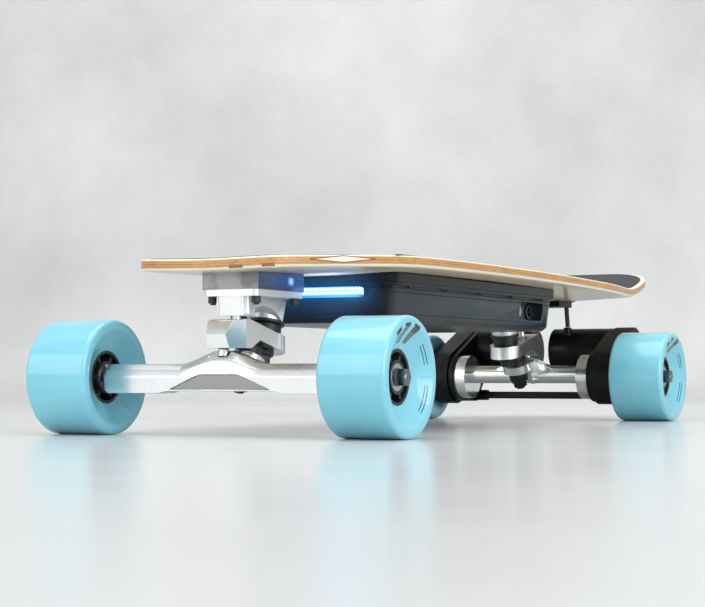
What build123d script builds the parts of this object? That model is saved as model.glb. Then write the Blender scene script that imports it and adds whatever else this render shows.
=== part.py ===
from build123d import *
import math
import os

os.makedirs("parts", exist_ok=True)

# An electric skateboard in millimetres. Nose towards -Y, tail towards +Y, deck up (+Z),
# left side +X. The origin is on the ground, at the middle of the board's overall box.

# ---- overall ----
wheelbase = 659.0
front_track = 275.0          # between the middles of the two front wheels
rear_track = 285.0
wheel_dia = 97.0
wheel_width = 59.5
deck_width = 238.0
deck_thickness = 10.0
nose_overhang = 35.0         # nose tip ahead of the front axle
tail_overhang = 186.0        # tail tip behind the rear axle
nose_taper = 175.0           # length over which the nose widens to the full width
tail_taper = 250.0
deck_height = 134.0          # underside of the deck's middle, over the front truck
deck_concave = 4.6           # how far the deck's sides stand above its middle
camber_radius = 14000.0
kick_length = 172.0
kick_angle = 13.5
kick_radius = 260.0
grip_thickness = 0.6
grip_margin = 5.0

# ---- fits ----
running_gap = 0.05           # shaft in a bore, on the radius
fit_gap = 0.3

# ---- wheels ----
wheel_edge_radius = 3.5
wheel_lip = 5.0              # flat ring at the wheel's side face
core_radius = 22.4
outer_recess = 12.0
inner_recess = 10.0
bearing_radius = 11.0
bearing_width = 7.0
bearing_bore = 4.0
core_wall = 2.6
core_spokes = 6
axle_radius = 4.0
nut_across = 13.0
nut_height = 7.5

# ---- trucks, in each truck's own side view: y from the axle towards the board's middle ----
plate_front = 4.0
plate_length = 81.0
plate_width = 52.0
plate_top = 120.5
plate_thickness = 5.5
bolt_spacing_y = 63.5
bolt_spacing_x = 41.3
bolt_radius = 2.4
bolt_head_radius = 4.6
nut_radius = 4.6
boss_bottom = 99.0
boss_width = 23.0
arch_width = 31.0
upper_ball = (16.0, 104.0)   # upper pivot: the knuckle's ball in the base plate
upper_ring = (61.0, 77.5)    # upper ring: the knuckle's eye round the upper kingpin
upper_tilt = 13.0            # upper kingpin's lean, top towards the middle of the board
lower_ball = (-4.0, 84.0)    # lower pivot: the hanger's ball in the knuckle
lower_ring = (31.0, 60.5)    # lower ring: the hanger's eye round the lower kingpin
lower_tilt = 27.0
ball_radius = 5.0
kingpin_radius = 5.0
ring_bore = 8.2
knuckle_half = 17.0
knuckle_eye = 18.0
knuckle_thickness = 13.0
lower_eye = 16.0
lower_eye_thickness = 9.0

# ---- hangers ----
bar_bottom = 37.0
bar_top = 59.5
hanger_peak = 69.8
hanger_ridge = 40.0          # half width of the ridge where it leaves the bar
hanger_reach = 4.5           # how far the hanger's ends go into the wheels
rear_bar_radius = 10.0
rear_bar_height = 51.0
rear_hub_radius = 24.5
rear_hub_inner = 67.0
rear_hub_outer = 80.0

# ---- drive ----
mount_thickness = 6.0
motor_back = 60.0            # motor axis behind the rear axle
motor_height = 78.5
motor_radius = 25.0
motor_inner_end = 12.0
motor_wall = 2.2
belt_width = 15.0
belt_thickness = 3.0
wheel_teeth = 32
motor_teeth = 15
tooth_pitch = 5.0
cover_wall = 2.0

# ---- battery and electronics box ----
box_front = 130.0            # from the front axle
box_rear = 536.0
box_half = 86.0
box_bottom = 96.0
box_wall = 2.6
box_taper = 7.0
flange_height = 6.0
flange_reach = 3.0
light_half = 59.0

# ---- worked out ----
wheel_radius = wheel_dia / 2
overall_front = max(wheel_radius, nose_overhang)
front_axle_y = (overall_front - wheelbase - tail_overhang) / 2
rear_axle_y = front_axle_y + wheelbase
middle = Plane.XZ.offset(-(front_axle_y + rear_axle_y) / 2)


def side(x=0.0):
    """Side view plane at x, its origin under the front axle, its x towards the tail."""
    return Plane(origin=(x, front_axle_y, 0), x_dir=(0, 1, 0), z_dir=(1, 0, 0))


def pin_plane(centre, tilt, along=0.0):
    """Plane square to a kingpin, at a distance up the pin from its ring's centre."""
    lean = math.radians(tilt)
    y = centre[0] + along * math.sin(lean)
    z = centre[1] + along * math.cos(lean)
    return Plane(origin=(0, front_axle_y + y, z), x_dir=(1, 0, 0), z_dir=(0, math.sin(lean), math.cos(lean)))


def upper_pin(along=0.0):
    return pin_plane(upper_ring, upper_tilt, along)


def lower_pin(along=0.0):
    return pin_plane(lower_ring, lower_tilt, along)


def at_ball(ball):
    return Location((0, front_axle_y + ball[0], ball[1]))


def save(shape, name):
    shape.label = name
    export_step(shape, "parts/" + name + ".step")


def save_mirrored(shape, name):
    """The same piece at the rear truck, which is the front one turned to face it."""
    with BuildPart() as rear:
        mirror(shape, about=middle)
    save(rear.part, name)


def save_left_right(shape, name):
    """A piece made on the left, and its mirror image on the right."""
    save(shape, "left_" + name)
    with BuildPart() as right:
        mirror(shape, about=Plane.YZ)
    save(right.part, "right_" + name)


def round_bar(plane, radius, length):
    """A plain round bar that stands on a plane."""
    with BuildPart() as bar:
        with BuildSketch(plane):
            Circle(radius)
        extrude(amount=length)
    return bar.part


# ---------------------------------------------------------------- deck and grip tape
camber_span = wheelbase + tail_overhang + nose_overhang - kick_length
deck_spare = 12.0            # the sheet is made longer than the deck at the nose
deck_start = (-nose_overhang - deck_spare, deck_height + deck_thickness - 0.7)
start_slope = (camber_span / 2 + deck_spare) / camber_radius


def deck_path():
    with BuildLine(side()) as path:
        camber = JernArc(start=deck_start, tangent=(math.cos(start_slope), math.sin(start_slope)),
                         radius=camber_radius,
                         arc_size=-math.degrees((camber_span + deck_spare) / camber_radius))
        kick = JernArc(start=camber @ 1, tangent=camber % 1, radius=kick_radius, arc_size=kick_angle)
        PolarLine(start=kick @ 1, length=kick_length, direction=kick % 1)
    return path.wires()[0]


def concave_strip(path, low, high):
    """A dished sheet between two heights above the deck's top line."""
    half = deck_width / 2 + 8
    rise = deck_concave * (half / (deck_width / 2)) ** 2
    start = Plane(origin=path @ 0, x_dir=(-1, 0, 0), z_dir=path % 0)
    with BuildPart() as sheet:
        with BuildSketch(start):
            with BuildLine():
                top = ThreePointArc((-half, rise + high), (0, high), (half, rise + high))
                bottom = ThreePointArc((-half, rise + low), (0, low), (half, rise + low))
                Line(top @ 0, bottom @ 0)
                Line(top @ 1, bottom @ 1)
            make_face()
        sweep(path=path)
    return sheet.part


def deck_outline(margin):
    """Blunt nose that widens to straight sides, and a tail that narrows to a rounded end."""
    half = deck_width / 2 - margin
    nose = -nose_overhang + margin
    tail = wheelbase + tail_overhang - margin
    with BuildSketch(Plane((0, front_axle_y, deck_height - 20))) as outline:
        with BuildLine():
            Spline((0, nose), (half - 59, nose + 3.5), (half - 39, nose + 35), (half - 22, nose + 76),
                   (half - 6, nose + 122), (half, nose + nose_taper), tangents=[(1, 0), (0, 1)])
            Line((half, nose + nose_taper), (half, tail - tail_taper))
            Spline((half, tail - tail_taper), (half - 9, tail - 125), (half - 24, tail - 50),
                   (half - 60, tail - 8), (0, tail), tangents=[(0, 1), (-1, 0)])
            mirror(about=Plane.YZ)
        make_face()
    return outline.sketch


path = deck_path()
with BuildPart() as deck:
    add(concave_strip(path, -deck_thickness, 0))
    extrude(deck_outline(0), amount=120, mode=Mode.INTERSECT)


with BuildPart() as grip_tape:
    add(concave_strip(path, 0, grip_thickness))
    extrude(deck_outline(grip_margin), amount=120, mode=Mode.INTERSECT)
    with Locations((0, front_axle_y + plate_front + plate_length / 2, 0),
                   (0, rear_axle_y - plate_front - plate_length / 2, 0)):
        with GridLocations(bolt_spacing_x, bolt_spacing_y, 2, 2):
            Cylinder(bolt_head_radius + fit_gap, 400, mode=Mode.SUBTRACT)
save(grip_tape.part, "grip_tape")


# ---------------------------------------------------------------- risers and base plates
plate_middle = plate_front + plate_length / 2
plate_bottom = plate_top - plate_thickness
light_pocket = (30.0, 40.0)
pocket_floor = plate_top + 4.0
light_board = 1.6
cut_through = 60.0           # longer than any cut needs to be


def plate_plane(height):
    return Plane((0, front_axle_y + plate_middle, height))


with BuildPart() as riser_block:
    with BuildSketch(plate_plane(plate_top)):
        RectangleRounded(plate_width + 2, plate_length, 3)
        with GridLocations(bolt_spacing_x, bolt_spacing_y, 2, 2):
            Circle(bolt_radius + fit_gap, mode=Mode.SUBTRACT)
    extrude(amount=deck_height + deck_thickness / 2 - plate_top)
    with BuildSketch(plate_plane(pocket_floor)):
        RectangleRounded(*light_pocket, 3)
    extrude(amount=cut_through, mode=Mode.SUBTRACT)

with BuildPart() as front_riser:
    add(riser_block.part)
    add(deck.part, mode=Mode.SUBTRACT)
save(front_riser.part, "front_riser")

with BuildPart() as rear_riser:
    mirror(riser_block.part, about=middle)
    add(deck.part, mode=Mode.SUBTRACT)
save(rear_riser.part, "rear_riser")

with BuildPart() as riser_lights:
    with BuildSketch(plate_plane(pocket_floor)):
        Rectangle(light_pocket[0] - 2, light_pocket[1] - 2)
    extrude(amount=light_board)
    with BuildSketch(plate_plane(pocket_floor + light_board)):
        with GridLocations(12, 12, 2, 3):
            Rectangle(3.5, 3.5)
    extrude(amount=1.2)
    mirror(about=middle)
save(riser_lights.part, "riser_lights")

# base plate: flat plate, pivot boss at its outer end, arched boss that holds the kingpin
arch_radius = 45.0
arch_centre = (34.0, 62.5)
arch_front = plate_front + 6
arch_rear = plate_front + 70
boss_rear = upper_ball[0] + 13
disc_radius = 16.0
bushing_radius = 13.5
bushing_height = 9.5
disc_height = 2.6
low_bushing_radius = 9.5
low_bushing_height = 5.0
seat = knuckle_thickness / 2 + bushing_height + disc_height
cup_wall = 1.8
neck_radius = 3.6

with BuildPart() as front_baseplate:
    with BuildSketch(side(-arch_width / 2)):
        Polygon((arch_front, plate_bottom + 1), (arch_front, boss_bottom + 1),
                (arch_rear - 8, boss_bottom - 4), (arch_rear, plate_bottom + 1), align=None)
    extrude(amount=arch_width)
    with BuildSketch(side(-plate_width / 2)):
        with Locations(arch_centre):
            Circle(arch_radius)
    extrude(amount=plate_width, mode=Mode.SUBTRACT)
    with BuildSketch(Plane((0, front_axle_y + (plate_front + 1 + boss_rear) / 2, plate_bottom + 1))):
        RectangleRounded(boss_width + 2, boss_rear - plate_front - 1, 3)
    extrude(amount=-(plate_bottom + 1 - boss_bottom), taper=3)
    with BuildSketch(upper_pin(seat)):
        Circle(bushing_radius)
    extrude(amount=plate_top - upper_ring[1] - seat - 4)
    with BuildSketch(plate_plane(plate_bottom)):
        RectangleRounded(plate_width, plate_length, 5)
        with GridLocations(bolt_spacing_x, bolt_spacing_y, 2, 2):
            Circle(bolt_radius + fit_gap, mode=Mode.SUBTRACT)
    extrude(amount=plate_thickness)
    with BuildSketch(upper_pin(seat)):
        Circle(disc_radius + 1.5)
    extrude(amount=-cut_through, mode=Mode.SUBTRACT)
    with BuildSketch(upper_pin(seat)):
        Circle(kingpin_radius)
    extrude(amount=plate_bottom - upper_ring[1] - seat, mode=Mode.SUBTRACT)
    with Locations(at_ball(upper_ball)):
        Sphere(ball_radius + cup_wall, mode=Mode.SUBTRACT)
        Cylinder(ball_radius + cup_wall, cut_through, align=(Align.CENTER, Align.CENTER, Align.MAX),
                 mode=Mode.SUBTRACT)
save(front_baseplate.part, "front_baseplate")
save_mirrored(front_baseplate.part, "rear_baseplate")

# soft cups that line the pivot bosses; each is open below for the ball's neck to swing
with BuildPart() as upper_pivot_cups:
    with Locations(at_ball(upper_ball)):
        Sphere(ball_radius + cup_wall)
        Cylinder(ball_radius + cup_wall, upper_ball[1] - boss_bottom,
                 align=(Align.CENTER, Align.CENTER, Align.MAX))
        Sphere(ball_radius + running_gap, mode=Mode.SUBTRACT)
        Cylinder(ball_radius + running_gap, cut_through, align=(Align.CENTER, Align.CENTER, Align.MAX),
                 mode=Mode.SUBTRACT)
    mirror(about=middle)
save(upper_pivot_cups.part, "upper_pivot_cups")

bolt_end = 7.0               # how far a bolt stands out below the plate
bolt_head_height = 2.2
head_bottom = deck_height + deck_thickness - 0.8


def bolt_group(build_one):
    """Eight copies of one fastener, four at each truck."""
    with BuildPart() as group:
        for axle, way in ((front_axle_y, 1), (rear_axle_y, -1)):
            with Locations((0, axle + way * plate_middle, 0)):
                with GridLocations(bolt_spacing_x, bolt_spacing_y, 2, 2):
                    add(build_one)
    return group.part


with BuildPart() as deck_bolt:
    with BuildSketch(Plane.XY.offset(plate_bottom - bolt_end)):
        Circle(bolt_radius)
    extrude(amount=head_bottom - plate_bottom + bolt_end)
    with BuildSketch(Plane.XY.offset(head_bottom)):
        Circle(bolt_head_radius)
    extrude(amount=bolt_head_height)
    with BuildSketch(Plane.XY.offset(head_bottom + bolt_head_height)):
        RegularPolygon(1.6, 6)
    extrude(amount=-1.4, mode=Mode.SUBTRACT)
deck_bolts = bolt_group(deck_bolt.part)
save(deck_bolts, "deck_bolts")

with BuildPart() as deck_nut:
    with BuildSketch(Plane.XY.offset(plate_bottom)):
        RegularPolygon(nut_radius, 6)
        Circle(bolt_radius, mode=Mode.SUBTRACT)
    extrude(amount=-5.5)
deck_nuts = bolt_group(deck_nut.part)
save(deck_nuts, "deck_nuts")

# the bolts pass through the deck and their heads are let into it
with BuildPart() as bolt_drill:
    Cylinder(bolt_radius, deck_height + deck_thickness + 20, align=(Align.CENTER, Align.CENTER, Align.MIN))
    with BuildSketch(Plane.XY.offset(head_bottom)):
        Circle(bolt_head_radius)
    extrude(amount=20)

with BuildPart() as drilled_deck:
    add(deck.part)
    add(bolt_group(bolt_drill.part), mode=Mode.SUBTRACT)
save(drilled_deck.part, "deck")

# ---------------------------------------------------------------- upper stage: kingpin, bushings
head_height = 6.0
low_head = -knuckle_thickness / 2 - low_bushing_height

with BuildPart() as upper_kingpins:
    with BuildSketch(upper_pin(low_head)):
        Circle(kingpin_radius)
    extrude(amount=plate_bottom - upper_ring[1] - low_head)
    with BuildSketch(upper_pin(low_head)):
        RegularPolygon(8.2, 6)
    extrude(amount=-head_height)
    mirror(about=middle)
save(upper_kingpins.part, "upper_kingpins")

with BuildPart() as upper_washers:
    with BuildSketch(upper_pin(seat - disc_height)):
        Circle(disc_radius)
        Circle(kingpin_radius, mode=Mode.SUBTRACT)
    extrude(amount=disc_height)
    mirror(about=middle)
save(upper_washers.part, "upper_kingpin_washers")


def bushing_pair(pin, half_eye, top, bottom):
    """Two rubber barrels on a kingpin, one on each side of the eye; (radius, height) each."""
    with BuildPart() as pair:
        for sign, (radius, height) in ((1, top), (-1, bottom)):
            with BuildSketch(pin(sign * half_eye)):
                Circle(radius)
                Circle(kingpin_radius, mode=Mode.SUBTRACT)
            extrude(amount=sign * height)
        chamfer(pair.edges().filter_by(GeomType.CIRCLE).filter_by(lambda e: e.radius > kingpin_radius + 1), 1.2)
    return pair.part


front_upper_bushings = bushing_pair(upper_pin, knuckle_thickness / 2, (bushing_radius, bushing_height),
                                    (low_bushing_radius, low_bushing_height))
save(front_upper_bushings, "front_upper_bushings")
save_mirrored(front_upper_bushings, "rear_upper_bushings")

# ---------------------------------------------------------------- knuckle
lower_bushing = (11.5, 10.0)
lower_under_bushing = (10.5, 12.0)
notch_radius = lower_bushing[0] + 3.0
plate_slope = math.tan(math.radians(upper_tilt))
eye_top = upper_ring[1] + knuckle_thickness / 2 / math.cos(math.radians(upper_tilt))
eye_low = upper_ring[1] - knuckle_thickness / 2 / math.cos(math.radians(upper_tilt))
socket_radius = ball_radius + running_gap


def slope_line(height, y):
    return height + (upper_ring[0] - y) * plate_slope


with BuildPart() as front_knuckle:
    with BuildSketch(side(-knuckle_eye)):
        Polygon((-17, 83), (-10, 94), (-2, 95.2), (8, slope_line(eye_top, 8)), (90, slope_line(eye_top, 90)),
                (90, slope_line(eye_low, 90)), (26, slope_line(eye_low, 26)), (12, 72.2), (-13, 72.2),
                align=None)
    extrude(amount=2 * knuckle_eye)
    with BuildSketch(Plane((0, front_axle_y, 40))):
        Polygon((-8.5, -18), (8.5, -18), (knuckle_half, 3), (knuckle_half, upper_ring[0]),
                (-knuckle_half, upper_ring[0]), (-knuckle_half, 3), align=None)
        with Locations((0, upper_ring[0])):
            Circle(knuckle_eye)
    extrude(amount=80, mode=Mode.INTERSECT)
    with BuildSketch(upper_pin(-knuckle_thickness)):
        Circle(ring_bore)
    extrude(amount=2 * knuckle_thickness, mode=Mode.SUBTRACT)
    with BuildSketch(lower_pin(lower_eye_thickness / 2 + lower_bushing[1])):
        Circle(notch_radius)
    extrude(amount=-cut_through, mode=Mode.SUBTRACT)
    with BuildSketch(lower_pin(lower_eye_thickness / 2 + lower_bushing[1])):
        Circle(kingpin_radius)
    extrude(amount=9, mode=Mode.SUBTRACT)
    with Locations(at_ball(lower_ball)):
        Sphere(socket_radius, mode=Mode.SUBTRACT)
        Cone(ball_radius + 3, socket_radius, 16, align=(Align.CENTER, Align.CENTER, Align.MAX),
             mode=Mode.SUBTRACT)
    with Locations(at_ball(upper_ball)):
        Sphere(ball_radius)
        Cylinder(neck_radius, 12, align=(Align.CENTER, Align.CENTER, Align.MAX))
save(front_knuckle.part, "front_knuckle")
save_mirrored(front_knuckle.part, "rear_knuckle")

lower_seat = lower_eye_thickness / 2 + lower_bushing[1]
lower_end = -lower_eye_thickness / 2 - lower_under_bushing[1]
with BuildPart() as front_lower_kingpin:
    with BuildSketch(lower_pin(lower_end)):
        Circle(kingpin_radius)
    extrude(amount=lower_seat + 9 - lower_end)
    with BuildSketch(lower_pin(lower_end)):
        Circle(9)
    extrude(amount=-1.6)
    with BuildSketch(lower_pin(lower_end - 1.6)):
        RegularPolygon(8.2, 6)
    extrude(amount=-head_height)
    with BuildSketch(lower_pin(lower_end - 1.6 - head_height)):
        Circle(kingpin_radius)
    extrude(amount=-2.5)
save(front_lower_kingpin.part, "front_lower_kingpin")
save_mirrored(front_lower_kingpin.part, "rear_lower_kingpin")

front_lower_bushings = bushing_pair(lower_pin, lower_eye_thickness / 2, lower_bushing, lower_under_bushing)
save(front_lower_bushings, "front_lower_bushings")
save_mirrored(front_lower_bushings, "rear_lower_bushings")

# ---------------------------------------------------------------- hangers
front_bar_end = front_track / 2 - wheel_width / 2 + hanger_reach
rear_stub_end = rear_hub_outer + mount_thickness + 1.0


def hanger_middle():
    """Eye round the lower kingpin, and the ball that stands up into the knuckle."""
    with BuildPart() as eye:
        with BuildSketch(lower_pin(-lower_eye_thickness / 2)):
            Circle(lower_eye)
        extrude(amount=lower_eye_thickness)
        with BuildSketch(side(-13)):
            Polygon((-6, 44), (-6, 62), (14, 67), (32, 60), (24, 48), (11, 40), align=None)
        extrude(amount=26)
        with BuildSketch(lower_pin(-lower_eye_thickness / 2)):
            Circle(lower_under_bushing[0] + 3.5)
        extrude(amount=-cut_through, mode=Mode.SUBTRACT)
        with BuildSketch(lower_pin(lower_eye_thickness / 2)):
            Circle(lower_eye + 2)
        extrude(amount=cut_through, mode=Mode.SUBTRACT)
    return eye.part


def pivot_ball():
    """The ball that turns in the knuckle, with its neck."""
    with BuildPart() as ball:
        with Locations(at_ball(lower_ball)):
            Sphere(ball_radius)
            Cylinder(neck_radius, lower_ball[1] - hanger_peak + 3,
                     align=(Align.CENTER, Align.CENTER, Align.MAX))
    return ball.part


def kingpin_hole():
    return round_bar(lower_pin(-lower_eye_thickness), ring_bore, 2 * lower_eye_thickness)


def peak_web(base_half, base_height, front, back):
    """Triangular ridge from the bar up to the pivot."""
    with BuildPart() as web:
        with BuildSketch(Plane((0, front_axle_y + front, 0), x_dir=(1, 0, 0), z_dir=(0, -1, 0))):
            Polygon((-base_half, base_height), (-7, hanger_peak), (7, hanger_peak), (base_half, base_height),
                    (base_half * 0.6, base_height - 12), (-base_half * 0.6, base_height - 12), align=None)
        extrude(amount=-(back - front))
    return web.part


with BuildPart() as front_hanger:
    with BuildSketch(side(-front_bar_end)):
        Polygon((-12, bar_bottom), (-13.5, 48), (-10.5, 54.5), (-5, bar_top), (5, bar_top), (10.5, 54.5),
                (13.5, 48), (12, bar_bottom), align=None)
    extrude(amount=2 * front_bar_end)
    add(peak_web(hanger_ridge, bar_top - 2, -13, 10))
    with BuildSketch(Plane((0, front_axle_y - 13.5, 0), x_dir=(1, 0, 0), z_dir=(0, -1, 0))):
        Polygon((-49, bar_bottom - 1), (-18, 51), (18, 51), (49, bar_bottom - 1), align=None)
    extrude(amount=-4.5, mode=Mode.SUBTRACT)
    add(hanger_middle())
    add(pivot_ball())
    add(kingpin_hole(), mode=Mode.SUBTRACT)
    with BuildSketch(side(-front_bar_end)):
        with Locations((0, wheel_radius)):
            Circle(axle_radius)
    extrude(amount=2 * front_bar_end, mode=Mode.SUBTRACT)
save(front_hanger.part, "front_hanger")

with BuildPart() as rear_hanger_blank:
    with BuildSketch(side(-rear_hub_outer)):
        with Locations((0, rear_bar_height)):
            Circle(rear_bar_radius)
    extrude(amount=2 * rear_hub_outer)
    add(peak_web(34, rear_bar_height + 6, -9, 9))
    for sign in (-1, 1):
        with BuildSketch(side(sign * rear_hub_inner)):
            with Locations((0, wheel_radius)):
                Circle(rear_hub_radius)
        extrude(amount=sign * (rear_hub_outer - rear_hub_inner))
        with BuildSketch(side(sign * rear_hub_outer)):
            with Locations((0, wheel_radius)):
                Circle(11)
        extrude(amount=sign * (rear_stub_end - rear_hub_outer))
    add(hanger_middle())
    add(pivot_ball())
    add(kingpin_hole(), mode=Mode.SUBTRACT)
    with BuildSketch(side(-rear_stub_end)):
        with Locations((0, wheel_radius)):
            Circle(axle_radius)
    extrude(amount=2 * rear_stub_end, mode=Mode.SUBTRACT)
save_mirrored(rear_hanger_blank.part, "rear_hanger")

# ---------------------------------------------------------------- axles, nuts, wheels
core_outer_face = wheel_width / 2 - outer_recess
core_inner_face = wheel_width / 2 - inner_recess


def across(x, y):
    """Plane across a wheel at x, centred on an axle or motor line at y."""
    return Plane(origin=(x, y, wheel_radius), x_dir=(0, 1, 0), z_dir=(1, 0, 0))


def axle_rod(axle_y, track):
    end = track / 2 + core_outer_face + nut_height + 1.5
    with BuildPart() as rod:
        with BuildSketch(across(-end, axle_y)):
            Circle(axle_radius)
        extrude(amount=2 * end)
        chamfer(rod.edges().filter_by(GeomType.CIRCLE), 0.8)
    return rod.part


def axle_nuts(axle_y, track):
    face = track / 2 + core_outer_face + 0.9
    with BuildPart() as nuts:
        for sign in (-1, 1):
            with BuildSketch(across(sign * face, axle_y)):
                RegularPolygon(nut_across / 2, 6, major_radius=False)
                Circle(axle_radius, mode=Mode.SUBTRACT)
            extrude(amount=sign * nut_height)
            with BuildSketch(across(sign * (face - 0.5), axle_y)):
                Circle(7.2)
                Circle(axle_radius, mode=Mode.SUBTRACT)
            extrude(amount=sign * 0.5)
    return nuts.part


save(axle_rod(front_axle_y, front_track), "front_axle")
save(axle_rod(rear_axle_y, rear_track), "rear_axle")
save(axle_nuts(front_axle_y, front_track), "front_axle_nuts")
save(axle_nuts(rear_axle_y, rear_track), "rear_axle_nuts")


def turn_profile(points, x, axle_y, sign):
    """Ring from an outline of (distance outwards, radius) points, about the axle."""
    with BuildPart() as ring:
        with BuildSketch(Plane(origin=(x, axle_y, wheel_radius), x_dir=(sign, 0, 0), z_dir=(0, -sign, 0))):
            Polygon(*points, align=None)
        revolve(axis=Axis((x, axle_y, wheel_radius), (1, 0, 0)))
    return ring.part


def tyre(x, axle_y, sign):
    """Solid urethane tyre with dished sides, moulded round the core."""
    half = wheel_width / 2
    lip = wheel_radius - wheel_edge_radius - wheel_lip
    edge = wheel_edge_radius * 0.3
    points = [(-half, lip), (-half, wheel_radius - wheel_edge_radius), (-half + edge, wheel_radius - edge),
              (-half + wheel_edge_radius, wheel_radius), (half - wheel_edge_radius, wheel_radius),
              (half - edge, wheel_radius - edge), (half, wheel_radius - wheel_edge_radius), (half, lip),
              (core_outer_face, core_radius), (-core_inner_face, core_radius)]
    return turn_profile(points, x, axle_y, sign)


def core(x, axle_y, sign, keyed):
    """Stiff core: outer ring, bearing hub, and spokes between them."""
    length = core_outer_face + core_inner_face
    start = across(x - sign * core_inner_face, axle_y)
    with BuildPart() as hub:
        with BuildSketch(start):
            Circle(core_radius)
            Circle(core_radius - core_wall, mode=Mode.SUBTRACT)
        extrude(amount=sign * length)
        with BuildSketch(start):
            Circle(bearing_radius + core_wall)
            Circle(bearing_radius, mode=Mode.SUBTRACT)
        extrude(amount=sign * length)
        with BuildSketch(start.offset(sign * 2)):
            with PolarLocations((core_radius + bearing_radius) / 2, core_spokes):
                Rectangle(core_radius - bearing_radius - core_wall, 3.2)
        extrude(amount=sign * (length - 4))
        with BuildSketch(start.offset(sign * length / 2 - 1.5)):
            Circle(core_radius - 1)
            Circle(bearing_radius + 1, mode=Mode.SUBTRACT)
        extrude(amount=3)
        if keyed:
            with BuildSketch(start):
                Circle(core_radius - core_wall / 2)
                Circle(bearing_radius + 1, mode=Mode.SUBTRACT)
            extrude(amount=sign * 3)
    return hub.part


def bearing_set(x, axle_y, sign):
    """Two bearings and the spacer between their inner rings, running on the axle."""
    inner = axle_radius + running_gap
    with BuildPart() as bearings:
        for face in (core_outer_face - bearing_width, -core_inner_face):
            with BuildSketch(across(x + sign * face, axle_y)):
                Circle(bearing_radius)
                Circle(inner, mode=Mode.SUBTRACT)
            extrude(amount=sign * bearing_width)
        spacer = core_outer_face + core_inner_face - 2 * bearing_width - 0.4
        with BuildSketch(across(x + sign * (bearing_width + 0.2 - core_inner_face), axle_y)):
            Circle(inner + 1.6)
            Circle(inner, mode=Mode.SUBTRACT)
        extrude(amount=sign * spacer)
    return bearings.part


for end_name, axle_y, track in (("front", front_axle_y, front_track), ("rear", rear_axle_y, rear_track)):
    for side_name, sign in (("left", 1), ("right", -1)):
        wheel = end_name + "_" + side_name
        save(tyre(sign * track / 2, axle_y, sign), wheel + "_tyre")
        save(core(sign * track / 2, axle_y, sign, end_name == "rear"), wheel + "_wheel_core")
        save(bearing_set(sign * track / 2, axle_y, sign), wheel + "_bearings")

# ---------------------------------------------------------------- drive, one motor on each side
motor_y = rear_axle_y + motor_back
mount_end = rear_hub_outer + mount_thickness
belt_start = mount_end + 2.5
wheel_pulley_radius = wheel_teeth * tooth_pitch / math.pi / 2 - 0.6
motor_pulley_radius = motor_teeth * tooth_pitch / math.pi / 2 - 0.6
flange_gap = 0.4
flange_wall = 0.9
belt_inside = 0.4            # belt's inner face above the pulley
brace_place = (43.0, 27.0)   # behind the axle, above the ground
mount_axle_radius = 28.0
brace_lug = 7.0
wheel_cover_radius = 30.7
motor_cover_radius = 26.0
cover_depth = belt_width + 7.5
cable_x = 33.0
cable_bow = 1.2
cable_y = 43.0               # behind the rear axle
cable_radius = 2.6
gland_radius = 4.5
gland_top = 104.5


def drive_plane(x):
    """Side view plane at x, its origin under the rear axle."""
    return Plane(origin=(x, rear_axle_y, 0), x_dir=(0, 1, 0), z_dir=(1, 0, 0))


def loop_outline(axle_end, motor_end, lug=0.0):
    """Outline that wraps the axle and the motor axis, and the brace's lug if there is one."""
    with BuildSketch() as outline:
        with Locations((0, wheel_radius)):
            Circle(axle_end)
        with Locations((motor_back, motor_height)):
            Circle(motor_end)
        if lug:
            with Locations(brace_place):
                Circle(lug)
        make_hull()
    return outline.sketch


with BuildPart() as motor_mount:
    with BuildSketch(drive_plane(rear_hub_outer)):
        add(loop_outline(mount_axle_radius, motor_radius, brace_lug))
        with Locations((0, wheel_radius)):
            Circle(11, mode=Mode.SUBTRACT)
        with Locations((motor_back, motor_height)):
            Circle(axle_radius + running_gap, mode=Mode.SUBTRACT)
    extrude(amount=mount_thickness)
save_left_right(motor_mount.part, "motor_mount")


def motor_ring(start, length, outside, inside=0.0):
    """Tube on the left motor's axis."""
    with BuildPart() as ring:
        with BuildSketch(Plane(origin=(start, motor_y, motor_height), x_dir=(0, 1, 0), z_dir=(1, 0, 0))):
            Circle(outside)
            if inside:
                Circle(inside, mode=Mode.SUBTRACT)
        extrude(amount=length)
    return ring.part


shaft_bore = axle_radius + running_gap
stator_radius = 17.0
rotor_radius = motor_radius - motor_wall - 0.6
stator_end = rear_hub_outer - 18
rotor_end = rear_hub_outer - 12

with BuildPart() as motor_housing:
    add(motor_ring(motor_inner_end, rear_hub_outer - motor_inner_end, motor_radius, motor_radius - motor_wall))
    add(motor_ring(motor_inner_end, 3, motor_radius - 1, shaft_bore))
    add(motor_ring(motor_inner_end + 2, stator_end - motor_inner_end - 2, stator_radius, shaft_bore))
    with BuildSketch(Plane((cable_x, rear_axle_y + cable_y, gland_top))):
        Circle(gland_radius)
    extrude(amount=-9)
    add(motor_ring(motor_inner_end + 3.5, rear_hub_outer - motor_inner_end, motor_radius - motor_wall,
                   stator_radius + 0.5), mode=Mode.SUBTRACT)
save_left_right(motor_housing.part, "motor_housing")

with BuildPart() as motor_rotor:
    add(motor_ring(motor_inner_end + 6, rotor_end - motor_inner_end - 6, rotor_radius, stator_radius + 0.6))
    add(motor_ring(rotor_end - 4, 4, rotor_radius))
    add(motor_ring(motor_inner_end + 4, belt_start + belt_width + 2 - motor_inner_end - 4, axle_radius))
    add(motor_ring(belt_start - flange_gap - flange_wall, belt_width + 2 * (flange_gap + flange_wall),
                   motor_pulley_radius))
    for start in (belt_start - flange_gap - flange_wall, belt_start + belt_width + flange_gap):
        add(motor_ring(start, flange_wall, motor_pulley_radius + 2.2))
save_left_right(motor_rotor.part, "motor_rotor")

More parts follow.
